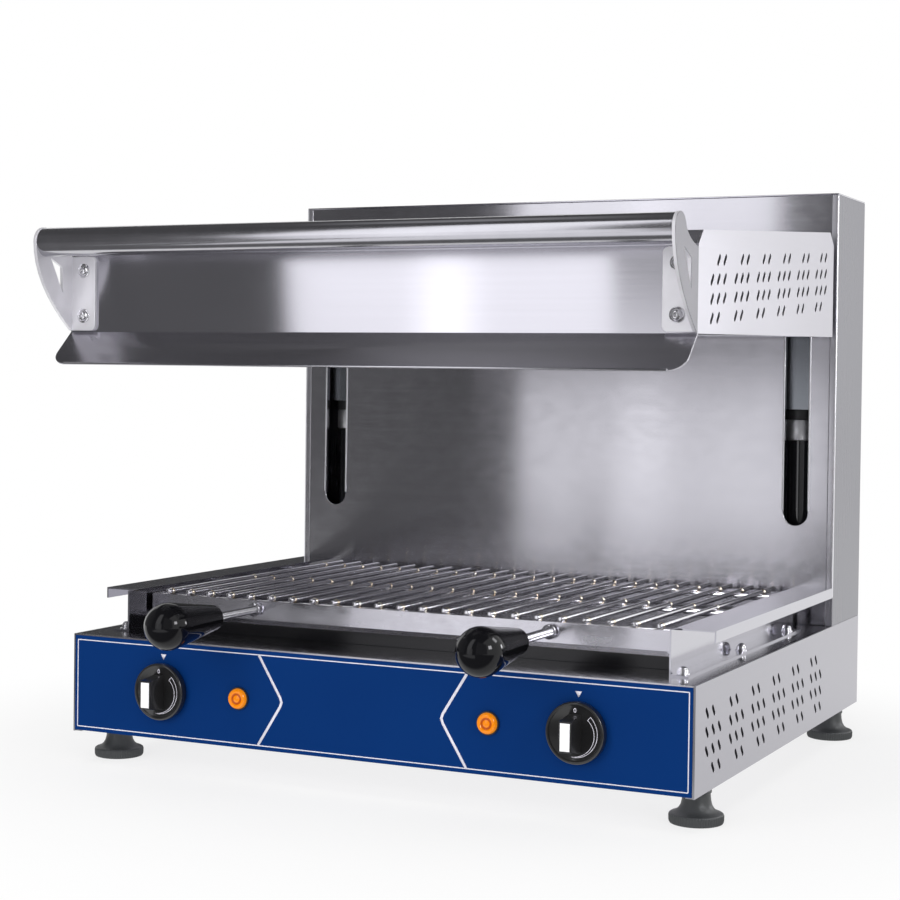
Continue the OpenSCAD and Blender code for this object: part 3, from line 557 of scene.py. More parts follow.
def places_along(node, axis, gap=20):
    """Where the solids of a CAD node lie along an axis, in millimetres: points
    nearer than the gap belong to one solid."""
    points = {round(vertex.co[axis] / MM, 1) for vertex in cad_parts[node].data.vertices}
    found = []
    for point in sorted(points):
        if not found or point - found[-1][-1] > gap:
            found.append([])
        found[-1].append(point)
    return [(group[0] + group[-1]) / 2 for group in found]


def dome(radius, height, base=0.0):
    """The outline of a domed cap."""
    angles = [radians(a) for a in range(0, 90, 15)]
    return [(radius * cos(a), base + height * sin(a)) for a in angles] + [(0, base + height)]


def bead(mesh, radius, length, place):
    """A straight rolled edge with chamfered ends."""
    lathe(mesh, ((0, 0), (radius * 0.7, 0), (radius, 1), (radius, length - 1), (radius * 0.7, length),
                 (0, length)), place, steps=16)


# ---- controls

# Heights over the panel's face
DIAL_FLOOR = 7.6
DIAL_FACE = 9.0
INK = 0.06
# The dial's skirt, as (distance in from its edge, height)
SKIRT_RIM = ((1, 1), (0, 1.8), (0, 7.4), (0.3, 8.3), (1, 8.9), (1.7, DIAL_FACE), (2.4, 8.8),
             (2.9, 8.2), (3.5, DIAL_FLOOR))
# The grip bar: half its width, half its length at its foot and at its top
BAR_HALF, BAR_FOOT, BAR_TOP = 5.5, 15.5, 12.5
INLAY_POCKET = 0.75
# The printed zero: its middle above the dial's, its half width and half height
ZERO_UP, ZERO_HALF, ZERO_RISE = 18.6, 0.95, 1.6
ZERO_STEPS = 24
ZERO_LINE = 0.7
# The heat crescent: its outer arc's radius, angles and steps, and how deep it
# gets and how soon, as a share of the radius and a power
CRESCENT_RADIUS = 19.6
CRESCENT_ANGLES = (46, -98)
CRESCENT_STEPS = 36
CRESCENT_DEPTH, CRESCENT_POWER = 0.19, 0.8
CRESCENT_LINE = 0.5


def oblong(half_x, half_y):
    """The outline of a rectangle round the middle."""
    return ((-half_x, half_y), (half_x, half_y), (half_x, -half_y), (-half_x, -half_y))


def dial_skirt(side, radius, axis):
    """A dished disc with a raised rim."""
    outline = [(0, 1)] + [(radius - inward, height) for inward, height in SKIRT_RIM] + [(0, DIAL_FLOOR)]
    skirt = bmesh.new()
    lathe(skirt, outline, steps=128)
    add_piece("dial_%s_skirt" % side, skirt, "dial_black", "dial_" + side,
              ["dial_" + side], place=axis)


def dial_bar(side, front, axis):
    """A grip bar with slanted ends and a pocket for the inlay."""
    low, high = edges("dial_inlay_" + side)
    pocket = oblong((high.x - low.x) / 2, (high.z - low.z) / 2)
    shapes = ((oblong(BAR_HALF, BAR_FOOT), DIAL_FLOOR - 1), (oblong(BAR_HALF, BAR_TOP), front),
              (pocket, front), (pocket, front - INLAY_POCKET))
    bar = bmesh.new()
    loops = [[bar.verts.new((x, y, z)) for x, y in shape] for shape, z in shapes]
    for lower, upper in zip(loops, loops[1:]):
        for i in range(4):
            j = (i + 1) % 4
            bar.faces.new((lower[i], lower[j], upper[j], upper[i]))
    bar.faces.new(loops[0])
    bar.faces.new(loops[-1])
    add_piece("dial_%s_bar" % side, bar, "dial_black", "dial_" + side,
              edge=1.0, place=axis, segments=3)


def dial_marks(side, axis):
    """A zero, and a crescent that gets deeper with the heat."""
    marks = bmesh.new()
    turns = [2 * pi * i / ZERO_STEPS for i in range(ZERO_STEPS)]
    zero = [(ZERO_HALF * cos(a), ZERO_UP + ZERO_RISE * sin(a)) for a in turns]
    ribbon(marks, zero, ZERO_LINE, DIAL_FLOOR, DIAL_FLOOR + INK)
    outer = arc(CRESCENT_RADIUS, *CRESCENT_ANGLES, CRESCENT_STEPS)
    inner = []
    for i, (x, y) in enumerate(reversed(outer)):
        share = 1 - CRESCENT_DEPTH * (i / CRESCENT_STEPS) ** CRESCENT_POWER
        inner.append((x * share, y * share))
    ribbon(marks, outer + inner[1:], CRESCENT_LINE, DIAL_FLOOR, DIAL_FLOOR + INK)
    add_piece("dial_%s_marks" % side, marks, "white_ink", "dial_" + side, place=axis)


def dial_knob(side):
    """A control dial: its skirt, its grip bar and its print."""
    low, high = edges("dial_" + side)
    panel = edges("control_overlay")[0].y
    axis = spot((low.x + high.x) / 2, panel, (low.z + high.z) / 2, FRONT)
    dial_skirt(side, (high.x - low.x) / 2, axis)
    dial_bar(side, axis.translation.y - low.y, axis)
    dial_marks(side, axis)


# A lamp's parts, as (radius, height over the panel's face)
LENS_OUTLINE = ((0, 0.5), (8.4, 0.5), (9, 1.2), (9, 2.6), (8.5, 4.3), (7.9, 5.4), (7.1, 5.95), (6.2, 5.9),
                (5.5, 5.3), (5.0, 4.5), (4.2, 4.2), (3.2, 4.5), (1.6, 5.0), (0, 5.2))
COLLAR_RADIUS = 10
COLLAR_OUTLINE = ((9.05, 0.2), (COLLAR_RADIUS, 0.2), (COLLAR_RADIUS, 1.5), (9.7, 1.9), (9.3, 2),
                  (9.05, 1.8))


def pilot_lamp(side, sign):
    """An amber lens with a raised ring round a shallow bowl, in a black collar."""
    panel = edges("control_overlay")[0].y
    across = sign * (edges("pilot_bodies")[1].x - COLLAR_RADIUS)
    axis = spot(across, panel, middle("pilot_bodies").z, FRONT)
    glass = bmesh.new()
    lathe(glass, LENS_OUTLINE)
    add_piece("pilot_%s_lens" % side, glass, "lens_amber", "base", place=axis)
    ring = bmesh.new()
    lathe(ring, COLLAR_OUTLINE)
    add_piece("pilot_%s_collar" % side, ring, "lamp_collar", "base", place=axis)


# The printed border: how far in it lies, its corners' radius and steps, its line
BORDER_IN, BORDER_UP = 3, 3.8
BORDER_CORNER = (0.6, 2)
BORDER_LINE = 0.9
# The chevrons: where they start, bend and point, from the middle, and their line
CHEVRON_START, CHEVRON_BEND, CHEVRON_TIP = 101, 79, 77.6
CHEVRON_UP = 4.2
CHEVRON_RISE = 4
CHEVRON_LINE = 2.4
# The pointers: half their width, their top and their tip over the panel's middle
POINTER_HALF, POINTER_TOP, POINTER_TIP = 2.9, 33, 28


def panel_print():
    """Printed on the overlay: a border line, a chevron beside each lamp and a
    pointer above each dial."""
    low, high = edges("control_overlay")
    face = spot(0, low.y, 0, FRONT)
    centre = (low.z + high.z) / 2
    ink = bmesh.new()
    border = rounded((low.x + BORDER_IN, low.z + BORDER_UP), (high.x - BORDER_IN, high.z - BORDER_UP),
                     *BORDER_CORNER)
    ribbon(ink, border, BORDER_LINE, 0, INK, face)
    for side in (-1, 1):
        chevron = [(side * CHEVRON_START, high.z - CHEVRON_UP),
                   (side * CHEVRON_BEND, centre + CHEVRON_RISE), (side * CHEVRON_TIP, centre),
                   (side * CHEVRON_BEND, centre - CHEVRON_RISE),
                   (side * CHEVRON_START, low.z + CHEVRON_UP)]
        ribbon(ink, chevron, CHEVRON_LINE, 0, INK * 1.5, face, closed=False)
        x = middle("dial_right").x * side
        plate(ink, ((x - POINTER_HALF, centre + POINTER_TOP), (x + POINTER_HALF, centre + POINTER_TOP),
                    (x, centre + POINTER_TIP)), 0, INK, face)
    add_piece("panel_print", ink, "white_ink", "base")


def controls():
    """Dials, lamps and print of the control panel."""
    for side, sign in SIDES:
        dial_knob(side)
        pilot_lamp(side, sign)
    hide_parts("pilot_lenses")
    panel_print()


# ---- feet

STUD_RADIUS = 5
FOOT_OUTLINE = ((0, 0), (20.6, 0), (21.8, 0.4), (22.4, 1.4), (22.7, 2.6), (22.8, 6.6), (22.3, 7.8),
                (21.2, 8.5), (20.6, 8.7), (19.6, 8.9), (17.2, 10), (14.8, 12), (13, 15), (12, 19),
                (11.6, 23), (11.6, 25), (12.3, 25.4), (12.5, 26.4), (12.3, 27.4), (11.6, 27.8),
                (11.5, 29.6), (STUD_RADIUS, 29.7))
# The knurl: its count, depth, lowest and highest
FOOT_KNURL = (60, 0.9, 1, 7.2)


def feet():
    """Levelling feet: a knurled disc that flares up to a ringed stem."""
    for end in ("front", "rear"):
        for side, _ in SIDES:
            node = "foot_%s_%s" % (end, side)
            top = edges(node)[1].z
            axis = middle(node)
            shape = bmesh.new()
            lathe(shape, FOOT_OUTLINE + ((STUD_RADIUS, top), (0, top)), steps=240, ripple=FOOT_KNURL)
            add_piece(node + "_cap", shape, "foot_plastic", node, [node],
                      place=spot(axis.x, axis.y, 0))


# ---- grid

# The grip: a collar, a cone in steps and a ball, as (radius, height from its foot)
CONE_FOOT, CONE_RISE, CONE_STEPS = (11.6, 2.2), (8.74, 66.2), 6
BALL_RADIUS, BALL_UP = 20.5, 71
GRIP_OUTLINE = [(4, 22), (4, 0.3), (4.4, 0), (10.3, 0), (11.1, 0.4), (11.5, 1.2), (11.62, 2.2)]
GRIP_OUTLINE += [tuple(foot + rise * i / CONE_STEPS for foot, rise in zip(CONE_FOOT, CONE_RISE))
                 for i in range(1, CONE_STEPS + 1)]
GRIP_OUTLINE += [(BALL_RADIUS * cos(radians(a)), BALL_UP + BALL_RADIUS * sin(radians(a)))
                 for a in range(0, 90, 6)]
GRIP_OUTLINE.append((0, BALL_UP + BALL_RADIUS))


def grips():
    """Ball-ended grips on the handle rods."""
    low, high = edges("grid_grips")
    for side, sign in SIDES:
        ball = bmesh.new()
        lathe(ball, GRIP_OUTLINE, steps=96)
        add_piece("grip_" + side, ball, "black_gloss", "grid",
                  ["grid_grips"] if sign > 0 else (),
                  place=spot(sign * (high.x - BALL_RADIUS), high.y, (low.z + high.z) / 2, FRONT))


# How near the grid's rods lie to each other, and the radius of their round ends
ROD_GAP = 10
ROD_TIP = 1.0
CROSS_BAR_RADIUS = 3
# The weld beads: how far they stand out round a rod, half their length, how
# deep they sit, how far they stray along the rods and what share of that across,
# and how the stray goes on from rod to rod and from bar to bar
WELD_OUT, WELD_HALF, WELD_DROP = 0.75, 3.1, 0.25
WELD_STRAY = 0.35
WELD_STRAY_ACROSS = 0.4
WELD_STRAY_TURNS = (7.3, 2.9)


def grid_wires():
    """Rods with round ends, cross bars under them and a weld bead at each
    crossing."""
    low, high = edges("grid_rods")
    radius = (high.z - low.z) / 2
    top = (low.z + high.z) / 2
    length = high.y - low.y
    rows = places_along("grid_rods", 0, ROD_GAP)
    outline = [(0, 0), (radius - ROD_TIP, 0)]
    outline += [(radius - ROD_TIP + ROD_TIP * sin(radians(a)), ROD_TIP - ROD_TIP * cos(radians(a)))
                for a in (30, 60, 90)]
    outline += [(r, length - h) for r, h in reversed(outline)]
    weld = [((radius + WELD_OUT) * sin(radians(a)), -WELD_HALF * cos(radians(a)))
            for a in range(0, 181, 20)]
    rods, beads = bmesh.new(), bmesh.new()
    places = places_along("grid_cross_bars", 1)
    for i, x in enumerate(rows):
        lathe(rods, outline, spot(x, low.y, top, BACK), steps=24)
        for j, y in enumerate(places):
            stray = WELD_STRAY * sin(WELD_STRAY_TURNS[0] * i + WELD_STRAY_TURNS[1] * j)
            crossing = spot(x + stray * WELD_STRAY_ACROSS, y + stray, top - WELD_DROP, BACK)
            lathe(beads, weld, crossing, steps=16)
    add_piece("grid_rod_wires", rods, "grid_chrome", "grid", ["grid_rods"])
    add_piece("grid_weld_beads", beads, "weld_tint", "grid")
    cross_wires(places)


def cross_wires(places):
    """The bars that carry the rods, at these places from front to rear."""
    low, high = edges("grid_cross_bars")
    length = high.x - low.x
    outline = ((0, 0), (CROSS_BAR_RADIUS, 0), (CROSS_BAR_RADIUS, length), (0, length))
    bars = bmesh.new()
    for y in places:
        lathe(bars, outline, spot(low.x, y, (low.z + high.z) / 2, RIGHT), steps=24)
    add_piece("grid_cross_wires", bars, "grid_chrome", "grid", ["grid_cross_bars"])


# The handle rods' radius, and the collar at their rear: its radius at its
# chamfer's foot and in full, and its length with the chamfer and without
HANDLE_ROD_RADIUS = 4
CHAMFER_RADIUS, HANDLE_COLLAR_RADIUS = 6, 6.5
HANDLE_COLLAR, HANDLE_COLLAR_FULL = 6, 5.4


def handle_rods():
    """Rods that carry the grips, with a chamfered collar at the frame."""
    low, high = edges("grid_handle_rods")
    length = high.y - low.y
    outline = ((0, 0), (HANDLE_ROD_RADIUS, 0), (HANDLE_ROD_RADIUS, length - HANDLE_COLLAR),
               (CHAMFER_RADIUS, length - HANDLE_COLLAR),
               (HANDLE_COLLAR_RADIUS, length - HANDLE_COLLAR_FULL),
               (HANDLE_COLLAR_RADIUS, length), (0, length))
    for side, sign in SIDES:
        x = sign * (high.x - HANDLE_COLLAR_RADIUS)
        rod = bmesh.new()
        lathe(rod, outline, spot(x, low.y, (low.z + high.z) / 2, BACK), steps=48)
        add_piece("grid_handle_rod_" + side, rod, "polished_steel", "grid",
                  ["grid_handle_rods"] if sign > 0 else ())


# ---- hems

# The visor's hem: its radius, how far it stops short of the ends, and how far
# it lies in from the visor's front and up from its foot
HEM_R = 1.1
HEM_END = 14
HEM_IN = 1.1
HEM_UP = 1.2
# The column's slots: their middle, half width, and where their hems start and end
SLOT_X = 261
SLOT_HALF = 12.25
SLOT_FOOT = 232
SLOT_HEAD = 40
SLOT_HEM_R = 1.0
# The hems down the column's corners
CORNER_R = 1.1
CORNER_FOOT = 148
# How far a hem's middle lies from its edge, as a share of the hem's radius
SLOT_HEM_OFF, CORNER_OFF = 0.7, 0.8


def visor_hem():
    """The bright rolled edge along the visor's foot, between its round corners."""
    low, high = edges("visor")
    length = high.x - low.x - 2 * HEM_END
    hem = bmesh.new()
    bead(hem, HEM_R, length, spot(low.x + HEM_END, low.y + HEM_IN, low.z + HEM_UP, RIGHT))
    add_piece("visor_hem", hem, "polished_steel", "hood")


def column_hems():
    """Rolled edges down the column's front corners and beside its slots, in brighter steel that partly
    paints their highlight.
    """
    splash = edges("column_splash")
    side = edges("column_side_right")
    corner_x, corner_y = side[1].x - CORNER_R * CORNER_OFF, side[0].y + CORNER_R * CORNER_OFF
    slot_length = splash[1].z - SLOT_FOOT - SLOT_HEAD
    hems = bmesh.new()
    for sign in (-1, 1):
        bead(hems, CORNER_R, side[1].z - CORNER_FOOT, spot(sign * corner_x, corner_y, CORNER_FOOT))
        for edge in (-1, 1):
            x = sign * SLOT_X + edge * (SLOT_HALF + SLOT_HEM_R * SLOT_HEM_OFF)
            bead(hems, SLOT_HEM_R, slot_length, spot(x, splash[0].y, SLOT_FOOT))
    add_piece("column_hems", hems, "trim_highlight_steel", "base")


# ---- fasteners

# How thick the rails' foot flanges are, and the bolts' heads below
RAIL_FLANGE = 1.5
BOLT_HEAD = 2.0
# How far a nut is turned on for each millimetre from front to rear
NUT_TURN = 0.3
WASHER = ((2.5, 0), (5.5, 0), (5.5, 0.7), (5.2, 1), (2.5, 1))
CAP_NUT = [(0, 1), (4.6, 1), (4.6, 3.4), (4.2, 4)] + dome(3.9, 2.5, 4)
ROUND_HEAD = [(0, 0), (4.5, 0)] + dome(4.5, BOLT_HEAD)


def rail_bolts():
    """Cap nuts with washers on the rails' foot flanges, round heads below."""
    foot = edges("rail_bolts")[0].z
    flange = edges("base_top_plate")[1].z + RAIL_FLANGE
    nuts = bmesh.new()
    for x in places_along("rail_bolts", 0):
        for y in places_along("rail_bolts", 1):
            seat = spot(x, y, flange, Matrix.Rotation(NUT_TURN * y, 4, "Z"))
            lathe(nuts, WASHER, seat, steps=32)
            lathe(nuts, CAP_NUT, seat, steps=6)
            lathe(nuts, ROUND_HEAD, spot(x, y, foot + BOLT_HEAD, DOWN))
    add_piece("rail_cap_nuts", nuts, "fastener_steel", "base", ["rail_bolts"])


# How far a bracket screw's head stands out
SCREW_HEAD = 4.2
# Its washer, head and socket, as (radius, height)
SCREW_OUTLINE = ((2, 0), (6.4, 0), (6.4, 0.8), (6.1, 1), (4.8, 1), (4.8, 1.6), (4.6, 2.3), (4.1, 3.1),
                 (3.3, 3.8), (2.3, 4.15), (1.95, 4.2), (1.8, 4.0), (1.8, 2.4), (0, 2.4))


def bracket_screws():
    """Button heads with round sockets on washers, their shanks behind."""
    low, high = edges("bracket_screws")
    face = low.y + SCREW_HEAD
    outline = ((0, face - high.y), (2, face - high.y)) + SCREW_OUTLINE
    heads = bmesh.new()
    for x in places_along("bracket_screws", 0):
        for z in places_along("bracket_screws", 2):
            lathe(heads, outline, spot(x, face, z, FRONT), steps=48)
    add_piece("bracket_button_screws", heads, "fastener_steel", "hood",
              ["bracket_screws"])


# ---- hood

TUBE_WALL = 1.5


def handle_tube():
    """The round handle between the brackets, open at its ends."""
    low, high = edges("handle_tube")
    outer = (high.z - low.z) / 2
    inner = outer - TUBE_WALL
    length = high.x - low.x
    tube = bmesh.new()
    lathe(tube, ((inner, 0), (outer, 0), (outer, length), (inner, length), (inner, 0)),
          spot(low.x, (low.y + high.y) / 2, (low.z + high.z) / 2, RIGHT), steps=96)
    add_piece("hood_handle_tube", tube, "polished_steel", "hood", ["handle_tube"],
              edge=0.3)


def spring_collars():
    """Collars that hold the gas spring cylinders."""
    low, high = edges("spring_clamps")
    cylinders = edges("spring_cylinders")
    bore = (cylinders[1].y - cylinders[0].y) / 2
    outer = (high.x - cylinders[1].x) + bore
    tall = high.z - low.z
    outline = ((bore, 0), (outer - 1, 0), (outer, 1), (outer, tall - 1), (outer - 1, tall),
               (bore, tall), (bore, 0))
    collars = bmesh.new()
    for sign in (-1, 1):
        lathe(collars, outline, spot(sign * (cylinders[1].x - bore), cylinders[0].y + bore, low.z))
    add_piece("spring_collars", collars, "clamp_alloy", "hood", ["spring_clamps"])


# The heating elements' radius, their legs, the pitch of these, and how far the
# ends stand behind the middles of the rear bends
ELEMENT_RADIUS = 4.25
ELEMENT_LEGS = 6
ELEMENT_PITCH = 45
REAR_LEADS = 46.7
BEND_STEPS = 16


def element_path(side, sign):
    """An element's middle line, to and fro between its two rear ends."""
    low, high = edges("element_" + side)
    z = (low.z + high.z) / 2
    start = sign * (max(abs(low.x), abs(high.x)) - ELEMENT_RADIUS)
    bend = ELEMENT_PITCH / 2
    path = [(start, high.y, z)]
    for leg in range(ELEMENT_LEGS - 1):
        x = start - sign * leg * ELEMENT_PITCH
        ahead = -1 if leg % 2 == 0 else 1
        centre_y = low.y + ELEMENT_RADIUS + bend if ahead < 0 else high.y - REAR_LEADS
        path += [(x - sign * bend * (1 - cos(a)), centre_y + ahead * bend * sin(a), z)
                 for a in (pi * i / BEND_STEPS for i in range(BEND_STEPS + 1))]
    path.append((start - sign * (ELEMENT_LEGS - 1) * ELEMENT_PITCH, high.y, z))
    return path


def heating_elements():
    """Tubular elements that run to and fro, as smooth curves."""
    for side, sign in SIDES:
        path = element_path(side, sign)
        curve = bpy.data.curves.new("element_curve_" + side, "CURVE")
        curve.dimensions = "3D"
        curve.bevel_depth = ELEMENT_RADIUS * MM
        curve.bevel_resolution = 6
        curve.use_fill_caps = True
        spline = curve.splines.new("POLY")
        spline.points.add(len(path) - 1)
        for point, place in zip(spline.points, path):
            point.co = (*(Vector(place) * MM), 1)
        curve.materials.append(FINISHES["element_sheath"])
        tube = bpy.data.objects.new("heating_tube_" + side, curve)
        bpy.context.scene.collection.objects.link(tube)
        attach(tube, "hood")
        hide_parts("element_" + side)


# ---- gland

GLAND_HEXAGON = ((5, -6), (8, -6), (8, 0), (11.8, 0), (11.8, 4.4), (11.2, 5), (5, 5))
# The dome nut's foot, and its flutes: their count, depth, lowest and highest
GLAND_NUT = ((5, 5), (10, 5), (10.2, 5.6), (10, 9))
GLAND_FLUTES = (20, 0.8, 5.5, 9.5)


def cable_gland():
    """A compression gland with a hexagon nut and a fluted dome nut."""
    low, high = edges("cable_gland")
    wall = edges("rear_cover")[1].y
    out = high.y - wall
    crown = ((9, out - 1.2), (7.6, out - 0.2), (6, out), (5, out - 0.6), (5, 5))
    seat = spot((low.x + high.x) / 2, wall, (low.z + high.z) / 2, BACK)
    gland = bmesh.new()
    lathe(gland, GLAND_HEXAGON, seat, steps=6)
    lathe(gland, GLAND_NUT + crown, seat, steps=120, ripple=GLAND_FLUTES)
    add_piece("cable_gland_nuts", gland, "gland_plastic", "base", ["cable_gland"])


# ---- stage and light

# The floor, in metres from the middle: where it ends, and where it turns from a
# share of white to all white
FLOOR_REACH = 14.0
FLOOR_NEAR, FLOOR_FAR = 0.33, 0.7
FLOOR_WHITE = 0.75


def flat_sheet(name, width, height, finish):
    """A level rectangle round its own middle, in metres."""
    sheet = bmesh.new()
    sheet.faces.new([sheet.verts.new((x * width / 2, y * height / 2, 0))
                     for x, y in ((-1, -1), (1, -1), (1, 1), (-1, 1))])
    data = bpy.data.meshes.new(name)
    sheet.to_mesh(data)
    sheet.free()
    data.materials.append(finish.material)
    made = bpy.data.objects.new(name, data)
    bpy.context.scene.collection.objects.link(made)
    return made


def stage_floor():
    """A pale floor that keeps the grill's shadow and turns white around it."""
    finish = Finish("pale_floor", Base_Color=(0.93, 0.93, 0.935), Roughness=0.9, Specular_IOR_Level=0.1)
    away = finish.node("VectorMath", {"operation": "LENGTH"}, {0: finish.place((1, 1, 0))}, output=1)
    share = away.within(FLOOR_NEAR, FLOOR_FAR) * (1 - FLOOR_WHITE) + FLOOR_WHITE
    lit = Amount(finish, finish.shader.outputs[0])
    white = finish.node("Emission", None, {"Color": (1, 1, 1), "Strength": 1.0})
    finish.show(finish.node("MixShader", None, {0: share, 1: lit, 2: white}))
    floor = flat_sheet("stage_floor", 2 * FLOOR_REACH, 2 * FLOOR_REACH, finish)


def studio_card(name, level, place, width, height, turn, fade):
    """A glowing card that only polished surfaces see. fade is how much of its
    half width and half height goes soft at the edges."""
    finish = Finish(name + "_cloth")
    glow = finish.node("Emission", None, {"Color": (0.97, 0.97, 1.0), "Strength": level})
    if any(fade):
        share = 1
        for axis, soft in enumerate(fade):
            if soft:
                away = abs(finish.axis(axis, (2 / width, 2 / height, 0)))
                share = (1 - away.within(1 - soft, 1.0)) * share
        clear = finish.node("BsdfTransparent")
        glow = finish.node("MixShader", None, {0: share, 1: clear, 2: glow})
    finish.show(glow)
    card = flat_sheet(name, width, height, finish)
    card.matrix_world = Matrix.Translation(place) @ turn
    for ray in ("camera", "diffuse", "shadow", "transmission"):
        setattr(card, "visible_" + ray, False)


def swung(angle):
    """The turn of an upright card that is swung round from facing the front."""
    return Matrix.Rotation(angle, 4, "Z") @ FRONT


SIDEWAYS = swung(pi / 2)

# Glowing cards: name, level, middle, width, height, turn, soft edges. The room is
# dim all round and overhead. Part of the floor in front glows. A tall window in
# several parts stands at the left in front of the grill, and three small ones at
# the right give the glints.
CARDS = (
    ("room_front", 0.10, (-2.0, -2.7, 1.6), 4.6, 3.4, FRONT, (0, 0)),
    ("room_front_right", 0.3, (1.8, -2.72, 1.6), 3.4, 3.4, FRONT, (0, 0)),
    ("room_left", 0.2, (-3.2, -0.9, 1.6), 3.6, 3.4, SIDEWAYS, (0, 0)),
    ("room_back_left", 0.07, (-2.6, 3.2, 0.9), 2.8, 1.8, FRONT, (0, 0)),
    ("room_top", 0.09, (-0.7, 0.4, 3.2), 5.2, 6.2, Matrix(), (0, 0)),
    ("top_glow", 0.34, (-1.1, 0.0, 3.1), 1.0, 1.6, Matrix(), (0.8, 0.5)),
    ("floor_front", 0.14, (-0.95, -1.62, 0.004), 4.7, 2.58, Matrix(), (0, 0.04)),
    ("floor_glow", 1.05, (-0.205, -1.06, 0.006), 0.71, 0.9, Matrix(), (0.04, 0.3)),
    ("floor_glint", 0.7, (-0.745, -1.1, 0.006), 0.05, 0.6, Matrix(), (0.3, 0.3)),
    ("window", 1.5, (-0.474, -1.37, 1.3), 0.53, 2.0, FRONT, (0, 0.25)),
    ("window_low", 1.2, (-0.455, -1.36, 0.27), 0.53, 0.54, FRONT, (0, 0.2)),
    ("window_middle", 1.7, (-0.46, -1.35, 0.95), 0.16, 1.9, FRONT, (0.9, 0.3)),
    ("window_rim", 1.6, (-0.719, -1.35, 1.3), 0.04, 1.9, FRONT, (0, 0.3)),
    ("window_right", 1.2, (-0.145, -1.365, 0.26), 0.13, 0.52, FRONT, (0.5, 0.3)),
    ("room_back", 0.3, (-0.2, 3.3, 1.0), 1.9, 2.2, FRONT, (0.2, 0)),
    ("lamp_near", 15.0, (1.75, -0.85, 0.95), 0.52, 0.52, swung(1.25), (0.1, 0.1)),
    ("lamp_rear", 13.0, (1.25, 1.0, 0.5), 0.3, 0.3, swung(-0.81), (0.1, 0.1)),
    ("lamp_right", 8.0, (1.4, 0.45, 1.45), 0.5, 0.8, swung(2.1), (0.1, 0.1)),
)

# Lamps: name, place, the point that they face, width, height, power in watts
LAMPS = (
    ("window_left", (-0.66, -1.9, 0.75), (0.0, 0.0, 0.35), 0.55, 1.0, 9),
    ("window_right", (1.9, -1.1, 0.7), (0.0, 0.0, 0.3), 0.5, 0.8, 7),
    ("ceiling", (0.0, -0.5, 2.6), (0.0, 0.0, 0.2), 2.6, 2.6, 35),
    ("front_fill", (0.5, -2.8, 1.2), (0.0, 0.0, 0.3), 2.4, 1.8, 22),
)
# The world's strength where it isn't seen directly
WORLD_LEVEL = 0.3


def studio_lamp(name, place, aim, width, height, power):
    """A soft lamp that is itself seen nowhere."""
    data = bpy.data.lights.new(name, "AREA")
    data.shape = "RECTANGLE"
    data.size, data.size_y = width, height
    data.energy = power
    lamp = bpy.data.objects.new(name, data)
    lamp.location = place
    lamp.rotation_mode = "QUATERNION"
    lamp.rotation_quaternion = (Vector(aim) - Vector(place)).to_track_quat("-Z", "Y")
    lamp.visible_camera = False
    lamp.visible_glossy = False
    bpy.context.scene.collection.objects.link(lamp)


def studio_world():
    """A soft world that is white where it is seen."""
    world = bpy.data.worlds.new("studio")
    bpy.context.scene.world = world
    sky = Tree(world)
    seen = sky.node("LightPath", output="Is Camera Ray")
    for ray in ("Is Glossy Ray", "Is Transmission Ray"):
        seen = seen.at_least(sky.node("LightPath", output=ray))
    background = next(n for n in sky.nodes if n.type == "BACKGROUND")
    sky.feed(background.inputs["Strength"], seen * (1 - WORLD_LEVEL) + WORLD_LEVEL)
    sky.feed(background.inputs["Color"], (1, 1, 1))


def studio_light():
    """All cards and lamps, and the world."""
    for card in CARDS:
        studio_card(*card)
    for lamp in LAMPS:
        studio_lamp(*lamp)
    studio_world()


# ---- CAD nodes

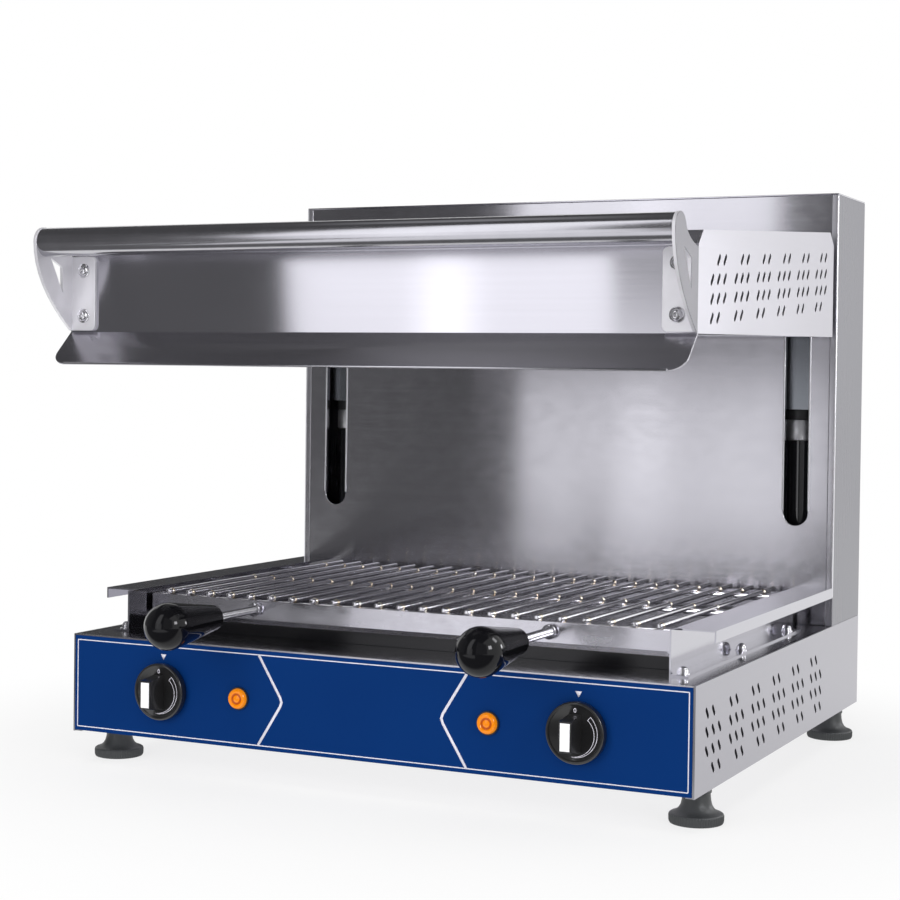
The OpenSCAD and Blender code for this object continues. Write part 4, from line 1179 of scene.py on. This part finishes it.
# Finish, width of the rounded edges, and the CAD nodes that have them
DRESSED = (
    ("front_steel", 0.5, "front_panel hood_front rear_cover hood_rear column_cap"),
    ("side_steel", 0.5, "hood_side_left hood_side_right"),
    ("base_steel", 0.5, "base_side_left base_side_right"),
    ("column_steel", 0.5, "column_side_left column_side_right"),
    ("flat_steel", 0.3, "base_floor hood_top"),
    ("arm_steel", 0.3, "lift_arms"),
    ("plate_steel", 0.3, "base_top_plate"),
    ("bracket_steel", 0.5, "bracket_left bracket_right"),
    ("splash_steel", 0.7, "column_splash"),
    ("strip_steel", 0.4, "grid_frame"),
    ("rail_steel", 0.3, "rail_left rail_right"),
    ("visor_steel", 0.4, "visor"),
    ("polished_steel", 0.0, "guide_rods piston_rods dial_shaft_left dial_shaft_right"),
    ("blue_film", 0.15, "control_overlay"),
    ("tray_steel", 0.3, "drip_tray"),
    ("zinc_steel", 0.3, "guide_rod_blocks piston_rod_anchors cross_beam element_hangers"),
    ("cylinder_paint", 0.4, "spring_cylinders"),
    ("bushing_brass", 0.3, "guide_bushings"),
    ("reflector_alloy", 0.3, "reflector"),
    ("ring_rubber", 0.5, "bumper_rings"),
    ("ivory_plastic", 0.4, "terminal_block heat_regulators"),
    ("lamp_collar", 0.0, "pilot_bodies"),
    ("inlay_metal", 0.15, "dial_inlay_left dial_inlay_right"),
    # Stood for by pieces, but dressed as well
    ("clamp_alloy", 0.4, "spring_clamps"),
    ("grid_chrome", 0.0, "grid_rods grid_cross_bars"),
    ("polished_steel", 0.0, "grid_handle_rods handle_tube"),
    ("fastener_steel", 0.0, "rail_bolts bracket_screws"),
    ("foot_plastic", 0.0, "foot_front_left foot_front_right foot_rear_left foot_rear_right"),
    ("gland_plastic", 0.0, "cable_gland"),
    ("element_sheath", 0.0, "element_left element_right"),
    ("black_gloss", 0.0, "dial_left dial_right grid_grips"),
    ("lens_amber", 0.0, "pilot_lenses"),
)


def dress_nodes():
    """Gives the CAD nodes their finishes and rounds their edges."""
    for finish, width, nodes in DRESSED:
        for node in nodes.split():
            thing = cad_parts[node]
            for hold in thing.material_slots:
                hold.material = FINISHES[finish]
            if width:
                soften(thing, width)


# ---- making

set_camera()
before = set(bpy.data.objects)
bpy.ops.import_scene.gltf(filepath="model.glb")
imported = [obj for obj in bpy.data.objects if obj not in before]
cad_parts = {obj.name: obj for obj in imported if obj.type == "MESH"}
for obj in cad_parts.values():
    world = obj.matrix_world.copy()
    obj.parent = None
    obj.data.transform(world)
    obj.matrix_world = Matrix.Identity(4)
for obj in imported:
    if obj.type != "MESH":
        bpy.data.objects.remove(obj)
studio_light()
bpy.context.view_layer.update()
make_finishes()
stage_floor()
dress_nodes()
controls()
feet()
grips()
grid_wires()
handle_rods()
visor_hem()
column_hems()
spring_collars()
rail_bolts()
bracket_screws()
handle_tube()
heating_elements()
cable_gland()
